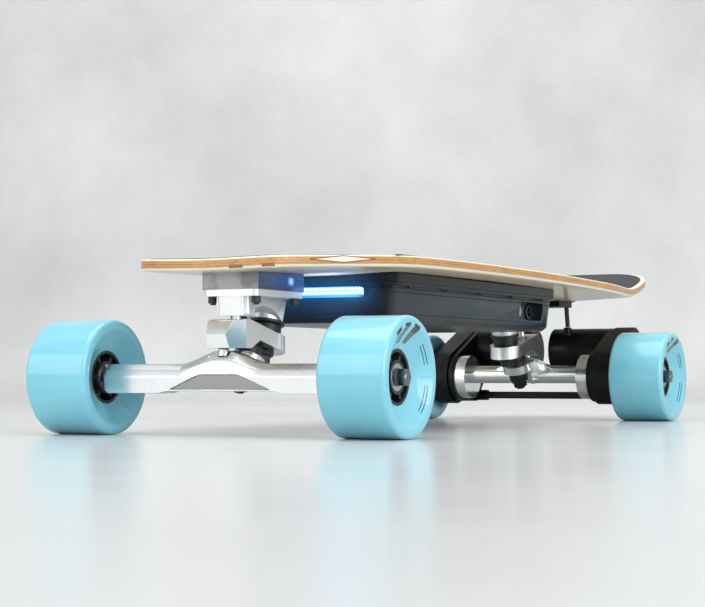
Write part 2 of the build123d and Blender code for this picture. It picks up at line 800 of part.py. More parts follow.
with BuildPart() as belt:
    with BuildSketch(drive_plane(belt_start)):
        add(loop_outline(wheel_pulley_radius + belt_inside + belt_thickness,
                         motor_pulley_radius + belt_inside + belt_thickness))
        add(loop_outline(wheel_pulley_radius + belt_inside, motor_pulley_radius + belt_inside),
            mode=Mode.SUBTRACT)
    extrude(amount=belt_width)
save_left_right(belt.part, "drive_belt")

with BuildPart() as belt_cover:
    with BuildSketch(drive_plane(mount_end)):
        add(loop_outline(wheel_cover_radius, motor_cover_radius))
    extrude(amount=cover_depth)
    fillet(belt_cover.faces().sort_by(Axis.X)[-1].outer_wire().edges(), cover_wall * 0.8)
    with BuildSketch(drive_plane(mount_end)):
        add(loop_outline(wheel_cover_radius - cover_wall, motor_cover_radius - cover_wall))
    extrude(amount=cover_depth - cover_wall, mode=Mode.SUBTRACT)
    with BuildSketch(across(mount_end, rear_axle_y)):
        Circle(17)
    extrude(amount=cut_through, mode=Mode.SUBTRACT)
save_left_right(belt_cover.part, "belt_cover")

pulley_start = belt_start - flange_gap - flange_wall
core_face = rear_track / 2 - core_inner_face
with BuildPart() as wheel_pulley:
    with BuildSketch(across(pulley_start, rear_axle_y)):
        Circle(wheel_pulley_radius)
    extrude(amount=belt_width + 2 * (flange_gap + flange_wall))
    for start in (pulley_start, belt_start + belt_width + flange_gap):
        with BuildSketch(across(start, rear_axle_y)):
            Circle(wheel_pulley_radius + 2.0)
        extrude(amount=flange_wall)
    with BuildSketch(across(pulley_start, rear_axle_y)):
        Circle(15)
    extrude(amount=core_face - pulley_start)
    with BuildSketch(across(core_face, rear_axle_y)):
        Circle(core_radius - core_wall)
    extrude(amount=-2.5)
    with BuildSketch(across(pulley_start, rear_axle_y)):
        Circle(bearing_radius)
    extrude(amount=cut_through, mode=Mode.SUBTRACT)
save_left_right(wheel_pulley.part, "wheel_pulley")

with BuildPart() as motor_brace:
    for sign in (-1, 1):
        with BuildSketch(drive_plane(sign * rear_hub_outer)):
            with Locations(brace_place):
                Circle(brace_lug - 1)
        extrude(amount=-sign * 14)
    with BuildSketch(drive_plane(-rear_hub_outer)):
        with Locations(brace_place):
            RectangleRounded(9, 8, 1.5)
    extrude(amount=2 * rear_hub_outer)
save(motor_brace.part, "motor_brace")

# ---------------------------------------------------------------- cables from the deck to the motors
clamp_half = 36.0
clamp_front = 9.0
clamp_rear = 49.0
clamp_bottom = 127.5
clamp_step = 133.0           # underside of the clamp's rear lip

with BuildPart() as cable_clamp:
    with BuildSketch(drive_plane(-clamp_half)):
        Polygon((clamp_front, clamp_bottom), (clamp_rear, clamp_bottom), (clamp_rear, clamp_step),
                (clamp_rear + 18, clamp_step + 3), (clamp_rear + 18, 170), (clamp_front, 170), align=None)
    extrude(amount=2 * clamp_half)
    add(drilled_deck.part, mode=Mode.SUBTRACT)
    add(concave_strip(path, 0, cut_through), mode=Mode.SUBTRACT)
save(cable_clamp.part, "cable_clamp")

with BuildPart() as motor_cables:
    with BuildLine() as cable_route:
        FilletPolyline((cable_x - cable_bow, rear_axle_y + cable_y, clamp_bottom),
                       (cable_x - cable_bow, rear_axle_y + cable_y, clamp_bottom - 7.5),
                       (cable_x, rear_axle_y + cable_y, gland_top + 7.5),
                       (cable_x, rear_axle_y + cable_y, gland_top), radius=40)
    with BuildSketch(Plane((cable_x - cable_bow, rear_axle_y + cable_y, clamp_bottom))):
        Circle(cable_radius)
    sweep(path=cable_route.wires()[0])
    mirror(about=Plane.YZ)
save(motor_cables.part, "motor_cables")

# ---------------------------------------------------------------- battery and electronics box
box_top = deck_height + deck_thickness / 2
front_corner = 16.0
rear_corner = 30.0
pocket_y = (432.0, 494.0)    # recess for the button and the charging socket, from the front axle
pocket_z = (106.0, 124.0)
pocket_x = 74.0
button_y = 449.0
port_y = 476.0
button_radius = 5.5
button_travel = 1.2
port_radius = 7.5


def box_plan(height, grow):
    """Plan of the box, its front corners tight and its rear corners wide."""
    half = box_half + grow
    with BuildSketch(Plane((0, front_axle_y, height))) as plan:
        Polygon((-half, box_front - grow), (half, box_front - grow), (half, box_rear + grow),
                (-half, box_rear + grow), align=None)
        fillet(plan.vertices().group_by(Axis.Y)[-1], rear_corner + grow)
        fillet(plan.vertices().group_by(Axis.Y)[0], front_corner + grow)
    return plan.sketch


def side_block(span_y, span_z, start, end):
    """Block on the left side of the board between two distances from its middle."""
    with BuildPart() as block:
        with BuildSketch(side(start)):
            with Locations(((span_y[0] + span_y[1]) / 2, (span_z[0] + span_z[1]) / 2)):
                RectangleRounded(span_y[1] - span_y[0], span_z[1] - span_z[0], 6)
        extrude(amount=end - start)
    return block.part


pocket = side_block(pocket_y, pocket_z, pocket_x, box_half + 5)
pocket_wall = side_block((pocket_y[0] - box_wall, pocket_y[1] + box_wall),
                         (pocket_z[0] - box_wall, pocket_z[1] + box_wall), pocket_x - box_wall, box_half + 5)

with BuildPart() as box_space:
    extrude(box_plan(box_top, -box_wall), amount=-(box_top - box_bottom - box_wall), taper=box_taper)
    add(pocket_wall, mode=Mode.SUBTRACT)

with BuildPart() as enclosure_shell:
    extrude(box_plan(box_top, 0), amount=-(box_top - box_bottom), taper=box_taper)
    chamfer(enclosure_shell.faces().sort_by(Axis.Z)[0].edges(), 4)
    extrude(box_plan(box_top, flange_reach), amount=-(box_top - deck_height + flange_height))
    add(box_space.part, mode=Mode.SUBTRACT)
    add(pocket, mode=Mode.SUBTRACT)
    for y, radius in ((button_y, button_radius + fit_gap), (port_y, port_radius - 1.5)):
        with BuildSketch(side(pocket_x - 10)):
            with Locations((y, (pocket_z[0] + pocket_z[1]) / 2)):
                Circle(radius)
        extrude(amount=14, mode=Mode.SUBTRACT)
    add(drilled_deck.part, mode=Mode.SUBTRACT)
save(enclosure_shell.part, "enclosure_shell")

pocket_middle = (pocket_z[0] + pocket_z[1]) / 2
with BuildPart() as power_button:
    with BuildSketch(side(pocket_x - box_wall - 1.5)):
        with Locations((button_y, pocket_middle)):
            Circle(button_radius)
    extrude(amount=box_wall + 1.5 + button_travel + 1.0)
    fillet(power_button.faces().sort_by(Axis.X)[-1].edges(), 0.6)
save(power_button.part, "power_button")

with BuildPart() as charge_port:
    with BuildSketch(side(pocket_x)):
        with Locations((port_y, pocket_middle)):
            Circle(port_radius)
    extrude(amount=1.6)
    with BuildSketch(side(pocket_x)):
        with Locations((port_y, pocket_middle)):
            Circle(port_radius - 1.5)
    extrude(amount=-11)
    with BuildSketch(side(pocket_x + 1.6)):
        with Locations((port_y, pocket_middle)):
            Circle(port_radius - 2.5)
            Circle(1.2, mode=Mode.SUBTRACT)
    extrude(amount=-9, mode=Mode.SUBTRACT)
save(charge_port.part, "charge_port")

floor = box_bottom + box_wall
battery = (146.0, 226.0, 31.0)
controller = (100.0, 84.0, 4.0)
controller_y = 432.0         # from the front axle
fin_rows = 9
fin_height = 14.0
with BuildPart() as battery_pack:
    with BuildSketch(Plane((0, front_axle_y + box_front + box_wall + battery[1] / 2 + 12, floor))):
        RectangleRounded(battery[0], battery[1], 6)
    extrude(amount=battery[2])
    chamfer(battery_pack.faces().sort_by(Axis.Z)[0].edges(), 3)
save(battery_pack.part, "battery_pack")

with BuildPart() as motor_controller:
    with BuildSketch(Plane((0, front_axle_y + controller_y, floor))):
        Rectangle(controller[0], controller[1])
    extrude(amount=controller[2])
    with BuildSketch(Plane((0, front_axle_y + controller_y, floor + controller[2]))):
        with GridLocations(0, controller[1] / fin_rows, 1, fin_rows):
            Rectangle(controller[0] - 8, 3)
    extrude(amount=fin_height)
save(motor_controller.part, "motor_controller")

light_low = 118.0
light_high = 127.0
light_reach = 5.0
with BuildPart() as light_bar:
    with BuildSketch(Plane((0, front_axle_y + box_front, (light_low + light_high) / 2), x_dir=(1, 0, 0),
                           z_dir=(0, -1, 0))):
        RectangleRounded(2 * light_half, light_high - light_low, 3)
    extrude(amount=light_reach)
    extrude(light_bar.faces().sort_by(Axis.Y)[-1], amount=6)
    add(enclosure_shell.part, mode=Mode.SUBTRACT)
    extrude(box_plan(box_top, -box_wall), amount=-(box_top - box_bottom), taper=box_taper, mode=Mode.SUBTRACT)
save(light_bar.part, "light_bar")

screw_rows = 5
flange_face = deck_height - flange_height
with BuildPart() as enclosure_screws:
    with BuildSketch(Plane((0, front_axle_y + (box_front + box_rear) / 2 - 10, flange_face))):
        with GridLocations(2 * box_half + flange_reach, (box_rear - box_front - 90) / (screw_rows - 1), 2, screw_rows):
            Circle(2.2)
    extrude(amount=-1.6)
save(enclosure_screws.part, "enclosure_screws")
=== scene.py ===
import math
import bmesh
import bpy
import numpy as np
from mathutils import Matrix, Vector


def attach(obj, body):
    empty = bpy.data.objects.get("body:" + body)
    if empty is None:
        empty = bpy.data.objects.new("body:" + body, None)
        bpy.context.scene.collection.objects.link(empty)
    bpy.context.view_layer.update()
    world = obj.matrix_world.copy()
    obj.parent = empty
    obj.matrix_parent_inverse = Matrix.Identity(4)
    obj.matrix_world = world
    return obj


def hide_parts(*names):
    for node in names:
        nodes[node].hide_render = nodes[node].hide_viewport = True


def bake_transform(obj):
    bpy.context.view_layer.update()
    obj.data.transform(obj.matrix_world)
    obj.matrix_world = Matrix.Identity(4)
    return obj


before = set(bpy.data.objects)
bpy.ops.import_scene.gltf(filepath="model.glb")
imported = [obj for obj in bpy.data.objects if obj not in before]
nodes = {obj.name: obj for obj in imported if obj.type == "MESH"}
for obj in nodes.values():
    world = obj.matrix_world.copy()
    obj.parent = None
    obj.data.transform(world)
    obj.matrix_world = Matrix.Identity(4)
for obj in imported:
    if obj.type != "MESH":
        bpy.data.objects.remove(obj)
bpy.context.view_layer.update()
print("frame loaded with", len(nodes), "nodes")

mm = 0.001
board = {"frontAxle": -398.25, "rearAxle": 260.75, "axleHeight": 48.5, "wheelBase": 659.0,
         "nose": -433.25, "tail": 446.75, "deckHalf": 119.0}


def gridFaces(rows, columns, loopRows=False, loopColumns=False, first=0):
    # quad (i, j): corners (i, j), (i+1, j), (i+1, j+1), (i, j+1); a loop joins the last line to the first
    ids = np.arange(rows * columns).reshape(rows, columns) + first
    if loopRows:
        ids = np.vstack([ids, ids[:1]])
    if loopColumns:
        ids = np.hstack([ids, ids[:, :1]])
    return np.stack([ids[:-1, :-1], ids[1:, :-1], ids[1:, 1:], ids[:-1, 1:]], -1).reshape(-1, 4)


def makePiece(name, surfaces, sharp=38.0, marks=None, body=None, material=None, merge=1e-6):
    # surfaces: list of (points grid in mm, loopRows, loopColumns); they become one mesh, seams merged
    points, faces, count = [], [], 0
    for grid, loopRows, loopColumns in surfaces:
        rows, columns = grid.shape[:2]
        points.append(grid.reshape(-1, 3))
        faces.append(gridFaces(rows, columns, loopRows, loopColumns, count))
        count += rows * columns
    mesh = bpy.data.meshes.new(name)
    mesh.from_pydata((np.concatenate(points) * mm).tolist(), [], np.concatenate(faces).tolist())
    for markName, values in (marks or {}).items():
        mark = mesh.attributes.new(markName, "FLOAT", "POINT")
        mark.data.foreach_set("value", np.concatenate([v.ravel() for v in values]).astype(np.float32))
    tidyMesh(mesh, merge)
    mesh.shade_smooth()
    mesh.set_sharp_from_angle(angle=math.radians(sharp))
    piece = bpy.data.objects.new(name, mesh)
    bpy.context.scene.collection.objects.link(piece)
    if material:
        mesh.materials.append(material)
    if body:
        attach(piece, body)
    return piece


def tidyMesh(mesh, merge):
    work = bmesh.new()
    work.from_mesh(mesh)
    bmesh.ops.remove_doubles(work, verts=work.verts, dist=merge)
    bmesh.ops.dissolve_degenerate(work, edges=work.edges, dist=1e-7)
    loose = [v for v in work.verts if not v.link_faces]
    bmesh.ops.delete(work, geom=loose, context="VERTS")
    bmesh.ops.recalc_face_normals(work, faces=work.faces)
    work.to_mesh(mesh)
    work.free()


def roundedLoop(corners, radius, steps):
    # each corner c becomes the curve (1-t)^2 a + 2t(1-t) c + t^2 b, a and b lying on its two sides
    before = np.roll(corners, 1, axis=1) - corners
    after = np.roll(corners, -1, axis=1) - corners
    lengthBefore = np.linalg.norm(before, axis=-1, keepdims=True)
    lengthAfter = np.linalg.norm(after, axis=-1, keepdims=True)
    a = corners + before / lengthBefore * np.minimum(radius, 0.45 * lengthBefore)
    b = corners + after / lengthAfter * np.minimum(radius, 0.45 * lengthAfter)
    t = np.linspace(0, 1, steps)[None, None, :, None]
    curve = (1 - t) ** 2 * a[:, :, None] + 2 * t * (1 - t) * corners[:, :, None] + t ** 2 * b[:, :, None]
    return curve.reshape(len(corners), -1, corners.shape[-1])


def turned(profile, origin, direction, steps=96, closed=False):
    # surface of revolution: point = origin + along*direction + radius*(cos a, sin a) in the plane square to it
    profile = np.array(profile, float)
    axis = np.array(direction, float) / np.linalg.norm(direction)
    helper = np.array([0.0, 0, 1]) if abs(axis[2]) < 0.9 else np.array([0.0, 1, 0])
    across = np.cross(helper, axis)
    across /= np.linalg.norm(across)
    upwards = np.cross(axis, across)
    angle = np.linspace(0, 2 * np.pi, steps, endpoint=False)[:, None, None]
    along, radius = profile[None, :, :1], profile[None, :, 1:]
    grid = np.array(origin) + along * axis + radius * (np.cos(angle) * across + np.sin(angle) * upwards)
    return grid, True, closed


def softened(profile, radius=0.8, steps=4):
    # a profile's inner corners rounded, its two ends kept
    profile = np.array(profile, float)[None]
    curve = roundedLoop(profile, radius, steps)[0]
    return np.vstack([profile[0, :1], curve[steps:-steps], profile[0, -1:]])


def softCopy(name, body, material, width=0.6, segments=2, angle=32.0):
    # the CAD node's own mesh, merged, flat faces joined, its edges rounded over
    source = nodes[name]
    mesh = source.data.copy()
    work = bmesh.new()
    work.from_mesh(mesh)
    bmesh.ops.remove_doubles(work, verts=work.verts, dist=2e-6)
    bmesh.ops.dissolve_limit(work, angle_limit=math.radians(0.8), verts=work.verts, edges=work.edges)
    work.to_mesh(mesh)
    work.free()
    mesh.materials.clear()
    mesh.materials.append(material)
    piece = bpy.data.objects.new(name + "_soft", mesh)
    bpy.context.scene.collection.objects.link(piece)
    mesh.shade_smooth()
    mesh.set_sharp_from_angle(angle=math.radians(angle))
    bevel = piece.modifiers.new("roundedEdges", "BEVEL")
    bevel.width = width * mm
    bevel.segments = segments
    bevel.limit_method = "ANGLE"
    bevel.angle_limit = math.radians(angle)
    bevel.harden_normals = True
    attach(piece, body)
    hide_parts(name)
    return piece


def socket(group, name, kind, way, value=None):
    made = group.interface.new_socket(name=name, in_out=way, socket_type="NodeSocket" + kind)
    if value is not None:
        made.default_value = value


def link(tree, output, target):
    tree.links.new(output, target)


def mathNode(tree, operation, a, b=None, clamp=False):
    node = tree.nodes.new("ShaderNodeMath")
    node.operation = operation
    node.use_clamp = clamp
    for slotNumber, value in enumerate((a, b)):
        if value is None:
            continue
        if isinstance(value, (int, float)):
            node.inputs[slotNumber].default_value = value
        else:
            link(tree, value, node.inputs[slotNumber])
    return node.outputs[0]


def between(tree, value, low, high, soft):
    # 1 where low < value < high, with soft edges
    up = tree.nodes.new("ShaderNodeMapRange")
    up.interpolation_type = "SMOOTHSTEP"
    down = tree.nodes.new("ShaderNodeMapRange")
    down.interpolation_type = "SMOOTHSTEP"
    for node, start, end in ((up, low - soft, low + soft), (down, high + soft, high - soft)):
        link(tree, value, node.inputs["Value"])
        node.inputs["From Min"].default_value = start
        node.inputs["From Max"].default_value = end
    return mathNode(tree, "MULTIPLY", up.outputs[0], down.outputs[0])


def mixColour(tree, factor, first, second):
    node = tree.nodes.new("ShaderNodeMix")
    node.data_type = "RGBA"
    if isinstance(factor, (int, float)):
        node.inputs["Factor"].default_value = factor
    else:
        link(tree, factor, node.inputs["Factor"])
    for key, value in (("A", first), ("B", second)):
        target = [s for s in node.inputs if s.name == key and s.type == "RGBA"][0]
        if isinstance(value, (tuple, list)):
            target.default_value = tuple(value)[:3] + (1.0,)
        else:
            link(tree, value, target)
    return [s for s in node.outputs if s.type == "RGBA"][0]


def noiseOf(tree, vector, scale, detail=3.0, rough=0.55):
    node = tree.nodes.new("ShaderNodeTexNoise")
    link(tree, vector, node.inputs["Vector"])
    for key, value in (("Scale", scale), ("Detail", detail), ("Roughness", rough)):
        if isinstance(value, (int, float)):
            node.inputs[key].default_value = value
        else:
            link(tree, value, node.inputs[key])
    return node.outputs[0]


def makeGrainGroup():
    # fine surface grain: height from small noise, tone from large cloudy noise
    group = bpy.data.node_groups.new("fineGrain", "ShaderNodeTree")
    socket(group, "Vector", "Vector", "INPUT")
    socket(group, "Grain Scale", "Float", "INPUT", 900.0)
    socket(group, "Cloud Scale", "Float", "INPUT", 18.0)
    socket(group, "Height", "Float", "OUTPUT")
    socket(group, "Tone", "Float", "OUTPUT")
    start, end = group.nodes.new("NodeGroupInput"), group.nodes.new("NodeGroupOutput")
    fine = noiseOf(group, start.outputs["Vector"], start.outputs["Grain Scale"], 4.0, 0.6)
    cloud = noiseOf(group, start.outputs["Vector"], start.outputs["Cloud Scale"], 3.0, 0.5)
    link(group, fine, end.inputs["Height"])
    link(group, cloud, end.inputs["Tone"])
    return group


def makeStreakGroup():
    # long streaks along the board: noise squeezed along Y, for wood fibres
    group = bpy.data.node_groups.new("woodStreaks", "ShaderNodeTree")
    socket(group, "Vector", "Vector", "INPUT")
    socket(group, "Scale", "Float", "INPUT", 260.0)
    socket(group, "Streak", "Float", "OUTPUT")
    start, end = group.nodes.new("NodeGroupInput"), group.nodes.new("NodeGroupOutput")
    squeeze = group.nodes.new("ShaderNodeMapping")
    squeeze.inputs["Scale"].default_value = (1.0, 0.035, 1.6)
    link(group, start.outputs["Vector"], squeeze.inputs["Vector"])
    link(group, noiseOf(group, squeeze.outputs[0], start.outputs["Scale"], 5.0, 0.65), end.inputs["Streak"])
    return group


grainGroup = makeGrainGroup()
streakGroup = makeStreakGroup()
print("shader groups built")


def startMaterial(name, **values):
    material = bpy.data.materials.new(name)
    material.use_nodes = True
    tree = material.node_tree
    shader = tree.nodes["Principled BSDF"]
    for key, value in values.items():
        shader.inputs[key].default_value = value
    place = tree.nodes.new("ShaderNodeTexCoord").outputs["Object"]
    return material, tree, shader, place


def addGroup(tree, group, place, **values):
    node = tree.nodes.new("ShaderNodeGroup")
    node.node_tree = group
    link(tree, place, node.inputs["Vector"])
    for key, value in values.items():
        node.inputs[key.replace("_", " ")].default_value = value
    return node


def rangeOf(tree, value, low, high, start=0.3, end=0.7):
    node = tree.nodes.new("ShaderNodeMapRange")
    link(tree, value, node.inputs["Value"])
    for key, number in (("From Min", start), ("From Max", end), ("To Min", low), ("To Max", high)):
        node.inputs[key].default_value = number
    return node.outputs[0]


def addBump(tree, shader, height, strength, distance):
    node = tree.nodes.new("ShaderNodeBump")
    node.inputs["Strength"].default_value = strength
    node.inputs["Distance"].default_value = distance
    link(tree, height, node.inputs["Height"])
    link(tree, node.outputs[0], shader.inputs["Normal"])


def finish(name, look):
    # one surface finish: two close tones, cloudy roughness, and a fine grain raised by bump
    fixed = {key: look[key] for key in ("Metallic", "Specular IOR Level") if key in look}
    material, tree, shader, place = startMaterial(name, **fixed)
    grain = addGroup(tree, grainGroup, place, Grain_Scale=look.get("grain", 900.0), Cloud_Scale=18.0)
    tone = rangeOf(tree, grain.outputs["Tone"], 0.0, 1.0)
    link(tree, mixColour(tree, tone, look["colour"], look["second"]), shader.inputs["Base Color"])
    link(tree, rangeOf(tree, grain.outputs["Tone"], *look["rough"]), shader.inputs["Roughness"])
    addBump(tree, shader, grain.outputs["Height"], look.get("raise", 0.25), look.get("depth", 0.00012))
    return material


finishes = {
    "aluminium": {"colour": (0.93, 0.935, 0.94), "second": (0.86, 0.865, 0.87), "Metallic": 0.9,
                  "rough": (0.17, 0.26), "grain": 2600.0, "raise": 0.16, "depth": 0.00006},
    "plateAluminium": {"colour": (0.92, 0.92, 0.92), "second": (0.86, 0.86, 0.87), "Metallic": 0.6,
                       "rough": (0.28, 0.38), "grain": 2200.0, "raise": 0.15, "depth": 0.00006},
    "blackSteel": {"colour": (0.012, 0.012, 0.013), "second": (0.025, 0.025, 0.027), "Metallic": 0.2,
                   "rough": (0.28, 0.42), "raise": 0.15},
    "bushing": {"colour": (0.006, 0.006, 0.007), "second": (0.012, 0.012, 0.013), "rough": (0.3, 0.42), "raise": 0.1},
    "boxPlastic": {"colour": (0.012, 0.014, 0.017), "second": (0.019, 0.021, 0.025), "rough": (0.30, 0.40),
                   "Specular IOR Level": 0.36, "grain": 1900.0, "raise": 0.3, "depth": 0.0001},
    "coverPlastic": {"colour": (0.005, 0.005, 0.006), "second": (0.009, 0.009, 0.010), "rough": (0.38, 0.5),
                     "Specular IOR Level": 0.22, "grain": 1700.0, "raise": 0.3},
    "nylon": {"colour": (0.014, 0.014, 0.016), "second": (0.03, 0.03, 0.033), "rough": (0.33, 0.47),
              "grain": 1500.0, "raise": 0.25},
    "anodised": {"colour": (0.005, 0.005, 0.006), "second": (0.009, 0.009, 0.010), "Specular IOR Level": 0.22,
                 "rough": (0.30, 0.42), "raise": 0.12},
    "bearing": {"colour": (0.62, 0.62, 0.63), "second": (0.50, 0.50, 0.51), "Metallic": 1.0, "rough": (0.18, 0.3),
                "raise": 0.1},
    "nutSteel": {"colour": (0.26, 0.26, 0.265), "second": (0.18, 0.18, 0.185), "Metallic": 1.0, "rough": (0.2, 0.33),
                 "raise": 0.1},
    "rotor": {"colour": (0.36, 0.36, 0.37), "second": (0.27, 0.27, 0.28), "Metallic": 1.0, "rough": (0.25, 0.4)},
    "belt": {"colour": (0.018, 0.018, 0.018), "second": (0.035, 0.035, 0.035), "rough": (0.6, 0.8), "grain": 700.0,
             "raise": 0.4},
    "cable": {"colour": (0.014, 0.014, 0.015), "second": (0.026, 0.026, 0.027), "rough": (0.38, 0.5), "raise": 0.2},
    "battery": {"colour": (0.04, 0.10, 0.30), "second": (0.05, 0.13, 0.36), "rough": (0.25, 0.4)},
    "heatsink": {"colour": (0.55, 0.56, 0.58), "second": (0.45, 0.46, 0.48), "Metallic": 1.0, "rough": (0.3, 0.45)},
    "port": {"colour": (0.015, 0.015, 0.016), "second": (0.03, 0.03, 0.031), "rough": (0.2, 0.3), "raise": 0.1},
    "button": {"colour": (0.30, 0.31, 0.33), "second": (0.36, 0.37, 0.39), "rough": (0.25, 0.35), "raise": 0.1},
}
made = {name: finish(name, look) for name, look in finishes.items()}


boxLook = {"front": (-0.2610, -0.2570), "glowHeight": 0.1225, "glowReach": 0.034, "glowHalf": (0.05, 0.078),
           "glow": (0.0, 0.07, 0.20), "shine": (0.36, 0.06), "grooves": (0.1036, 0.1225, 0.1262, 0.1312)}


def addBoxGlow(material):
    # painted light: the light bar's blue glow painted on the box's front as emission, fading with distance from the
    # bar; fine grooves round the box
    tree = material.node_tree
    shader = tree.nodes["Principled BSDF"]
    parts = tree.nodes.new("ShaderNodeSeparateXYZ")
    link(tree, tree.nodes.new("ShaderNodeTexCoord").outputs["Object"], parts.inputs[0])
    frontFace = rangeOf(tree, parts.outputs[1], 1.0, 0.0, *boxLook["front"])
    away = mathNode(tree, "ABSOLUTE", mathNode(tree, "SUBTRACT", parts.outputs[2], boxLook["glowHeight"]))
    near = mathNode(tree, "POWER", rangeOf(tree, away, 1.0, 0.0, 0.0, boxLook["glowReach"]), 2.2)
    across = rangeOf(tree, mathNode(tree, "ABSOLUTE", parts.outputs[0]), 1.0, 0.0, *boxLook["glowHalf"])
    glow = mathNode(tree, "MULTIPLY", mathNode(tree, "MULTIPLY", near, across), frontFace)
    # painted light: the bar's blue goes into the box's emission
    link(tree, mixColour(tree, glow, (0, 0, 0), boxLook["glow"]), shader.inputs["Emission Color"])
    link(tree, rangeOf(tree, frontFace, *boxLook["shine"], 0.0, 1.0), shader.inputs["Specular IOR Level"])
    shader.inputs["Emission Strength"].default_value = 1.0
    lines = None
    for height in boxLook["grooves"]:
        line = between(tree, parts.outputs[2], height - 0.0003, height + 0.0003, 0.0002)
        lines = line if lines is None else mathNode(tree, "ADD", lines, line)
    grooves = tree.nodes.new("ShaderNodeBump")
    grooves.inputs["Strength"].default_value = 0.9
    grooves.inputs["Distance"].default_value = 0.0006
    grooves.invert = True
    link(tree, lines, grooves.inputs["Height"])
    link(tree, shader.inputs["Normal"].links[0].from_socket, grooves.inputs["Normal"])
    link(tree, grooves.outputs[0], shader.inputs["Normal"])


addBoxGlow(made["boxPlastic"])
print("plain finishes made:", len(made))


deckLook = {"thickness": 10.0, "height": 134.0, "concave": 4.6, "camberRadius": 14000.0, "spare": 12.0,
            "kickLength": 172.0, "kickAngle": 13.5, "kickRadius": 260.0, "topEdge": 2.8, "lowEdge": 3.6,
            # painted highlight: the next four numbers place and size the pale lens on the band
            "wellHighlightY": -0.368, "wellHighlightHalf": 0.034, "wellHighlightDepth": 3.7, "wellHighlightThick": 2.8,
            "frontReach": 35.0, "rearReach": 186.0, "saddle": 0.7,
            "topPly": 1.3, "lowPly": 7.6, "bamboo": (0.62, 0.32, 0.095), "bambooDark": (0.44, 0.20, 0.05),
            "glue": (0.20, 0.085, 0.03), "cream": (0.90, 0.84, 0.70), "under": (0.80, 0.70, 0.50)}
camberSpan = board["wheelBase"] + deckLook["rearReach"] + deckLook["frontReach"] - deckLook["kickLength"]
deckStart = np.array([board["frontAxle"] - deckLook["frontReach"] - deckLook["spare"],
                      deckLook["height"] + deckLook["thickness"] - deckLook["saddle"]])
startSlope = (camberSpan / 2 + deckLook["spare"]) / deckLook["camberRadius"]


def deckLine(y):
    # the deck's top line in side view: a slow arch, then a tight arc up to the kick's angle, then straight
    radius = deckLook["camberRadius"]
    sweep = (camberSpan + deckLook["spare"]) / radius
    endSlope = startSlope - sweep
    u = y - deckStart[0]
    archEnd = radius * (math.sin(startSlope) - math.sin(endSlope))
    slope = np.arcsin(np.clip(math.sin(startSlope) - u / radius, -1, 1))
    z = deckStart[1] + radius * (np.cos(slope) - math.cos(startSlope))
    zArch = deckStart[1] + radius * (math.cos(endSlope) - math.cos(startSlope))
    kick = deckLook["kickRadius"]
    turn = math.radians(deckLook["kickAngle"])
    kickEnd = kick * (math.sin(endSlope + turn) - math.sin(endSlope))
    v = u - archEnd
    slopeKick = np.arcsin(np.clip(math.sin(endSlope) + v / kick, -1, math.sin(endSlope + turn)))
    zKick = zArch - kick * (np.cos(slopeKick) - math.cos(endSlope))
    zEnd = zArch - kick * (math.cos(endSlope + turn) - math.cos(endSlope))
    zLine = zEnd + (v - kickEnd) * math.tan(endSlope + turn)
    slope = np.where(v <= 0, slope, np.where(v <= kickEnd, slopeKick, endSlope + turn))
    z = np.where(v <= 0, z, np.where(v <= kickEnd, zKick, zLine))
    return z, slope


def deckPoint(x, y, depth):
    # point below the deck's top face: line height + (dish - depth) along the line's own normal
    h = deckLook["concave"] * (x / board["deckHalf"]) ** 2 - depth
    yLine = y + 0 * h
    for step in range(4):
        z, slope = deckLine(yLine)
        yLine = y + np.sin(slope) * h
    z, slope = deckLine(yLine)
    return np.stack([x + 0 * z, y + 0 * z, z + np.cos(slope) * h], -1)


def splineThrough(points, startWay, endWay, steps):
    # cubic through the points, each span a Hermite curve with chord-length tangents
    p = np.array(points, float)
    gap = np.linalg.norm(np.diff(p, axis=0), axis=1)
    size = len(p)
    matrix, right = np.zeros((size, size)), np.zeros((size, 2))
    matrix[0, 0] = matrix[-1, -1] = 1
    right[0], right[-1] = np.array(startWay, float), np.array(endWay, float)
    for i in range(1, size - 1):
        matrix[i, i - 1], matrix[i, i], matrix[i, i + 1] = gap[i], 2 * (gap[i - 1] + gap[i]), gap[i - 1]
        right[i] = 3 * (gap[i] / gap[i - 1] * (p[i] - p[i - 1]) + gap[i - 1] / gap[i] * (p[i + 1] - p[i]))
    slope = np.linalg.solve(matrix, right)
    t = np.linspace(0, 1, steps, endpoint=False)[:, None]
    spans = []
    for i in range(size - 1):
        spans.append((2 * t ** 3 - 3 * t ** 2 + 1) * p[i] + (t ** 3 - 2 * t ** 2 + t) * gap[i] * slope[i]
                     + (3 * t ** 2 - 2 * t ** 3) * p[i + 1] + (t ** 3 - t ** 2) * gap[i] * slope[i + 1])
    return np.vstack(spans + [p[-1:]])


def deckRim():
    # half outline from nose to tail on the left, mirrored to the right
    half, nose, tail = board["deckHalf"], board["nose"], board["tail"]
    front = splineThrough([(0, nose), (half - 59, nose + 3.5), (half - 39, nose + 35), (half - 22, nose + 76),
                           (half - 6, nose + 122), (half, nose + 175)], (1, 0), (0, 1), 14)
    straight = np.stack([np.full(60, half), np.linspace(nose + 175, tail - 250, 60)], -1)[1:-1]
    back = splineThrough([(half, tail - 250), (half - 9, tail - 125), (half - 24, tail - 50), (half - 60, tail - 8),
                          (0, tail)], (0, 1), (-1, 0), 18)
    left = np.vstack([front, straight, back])
    right = left[::-1][1:-1] * [-1, 1]
    return np.vstack([left, right])


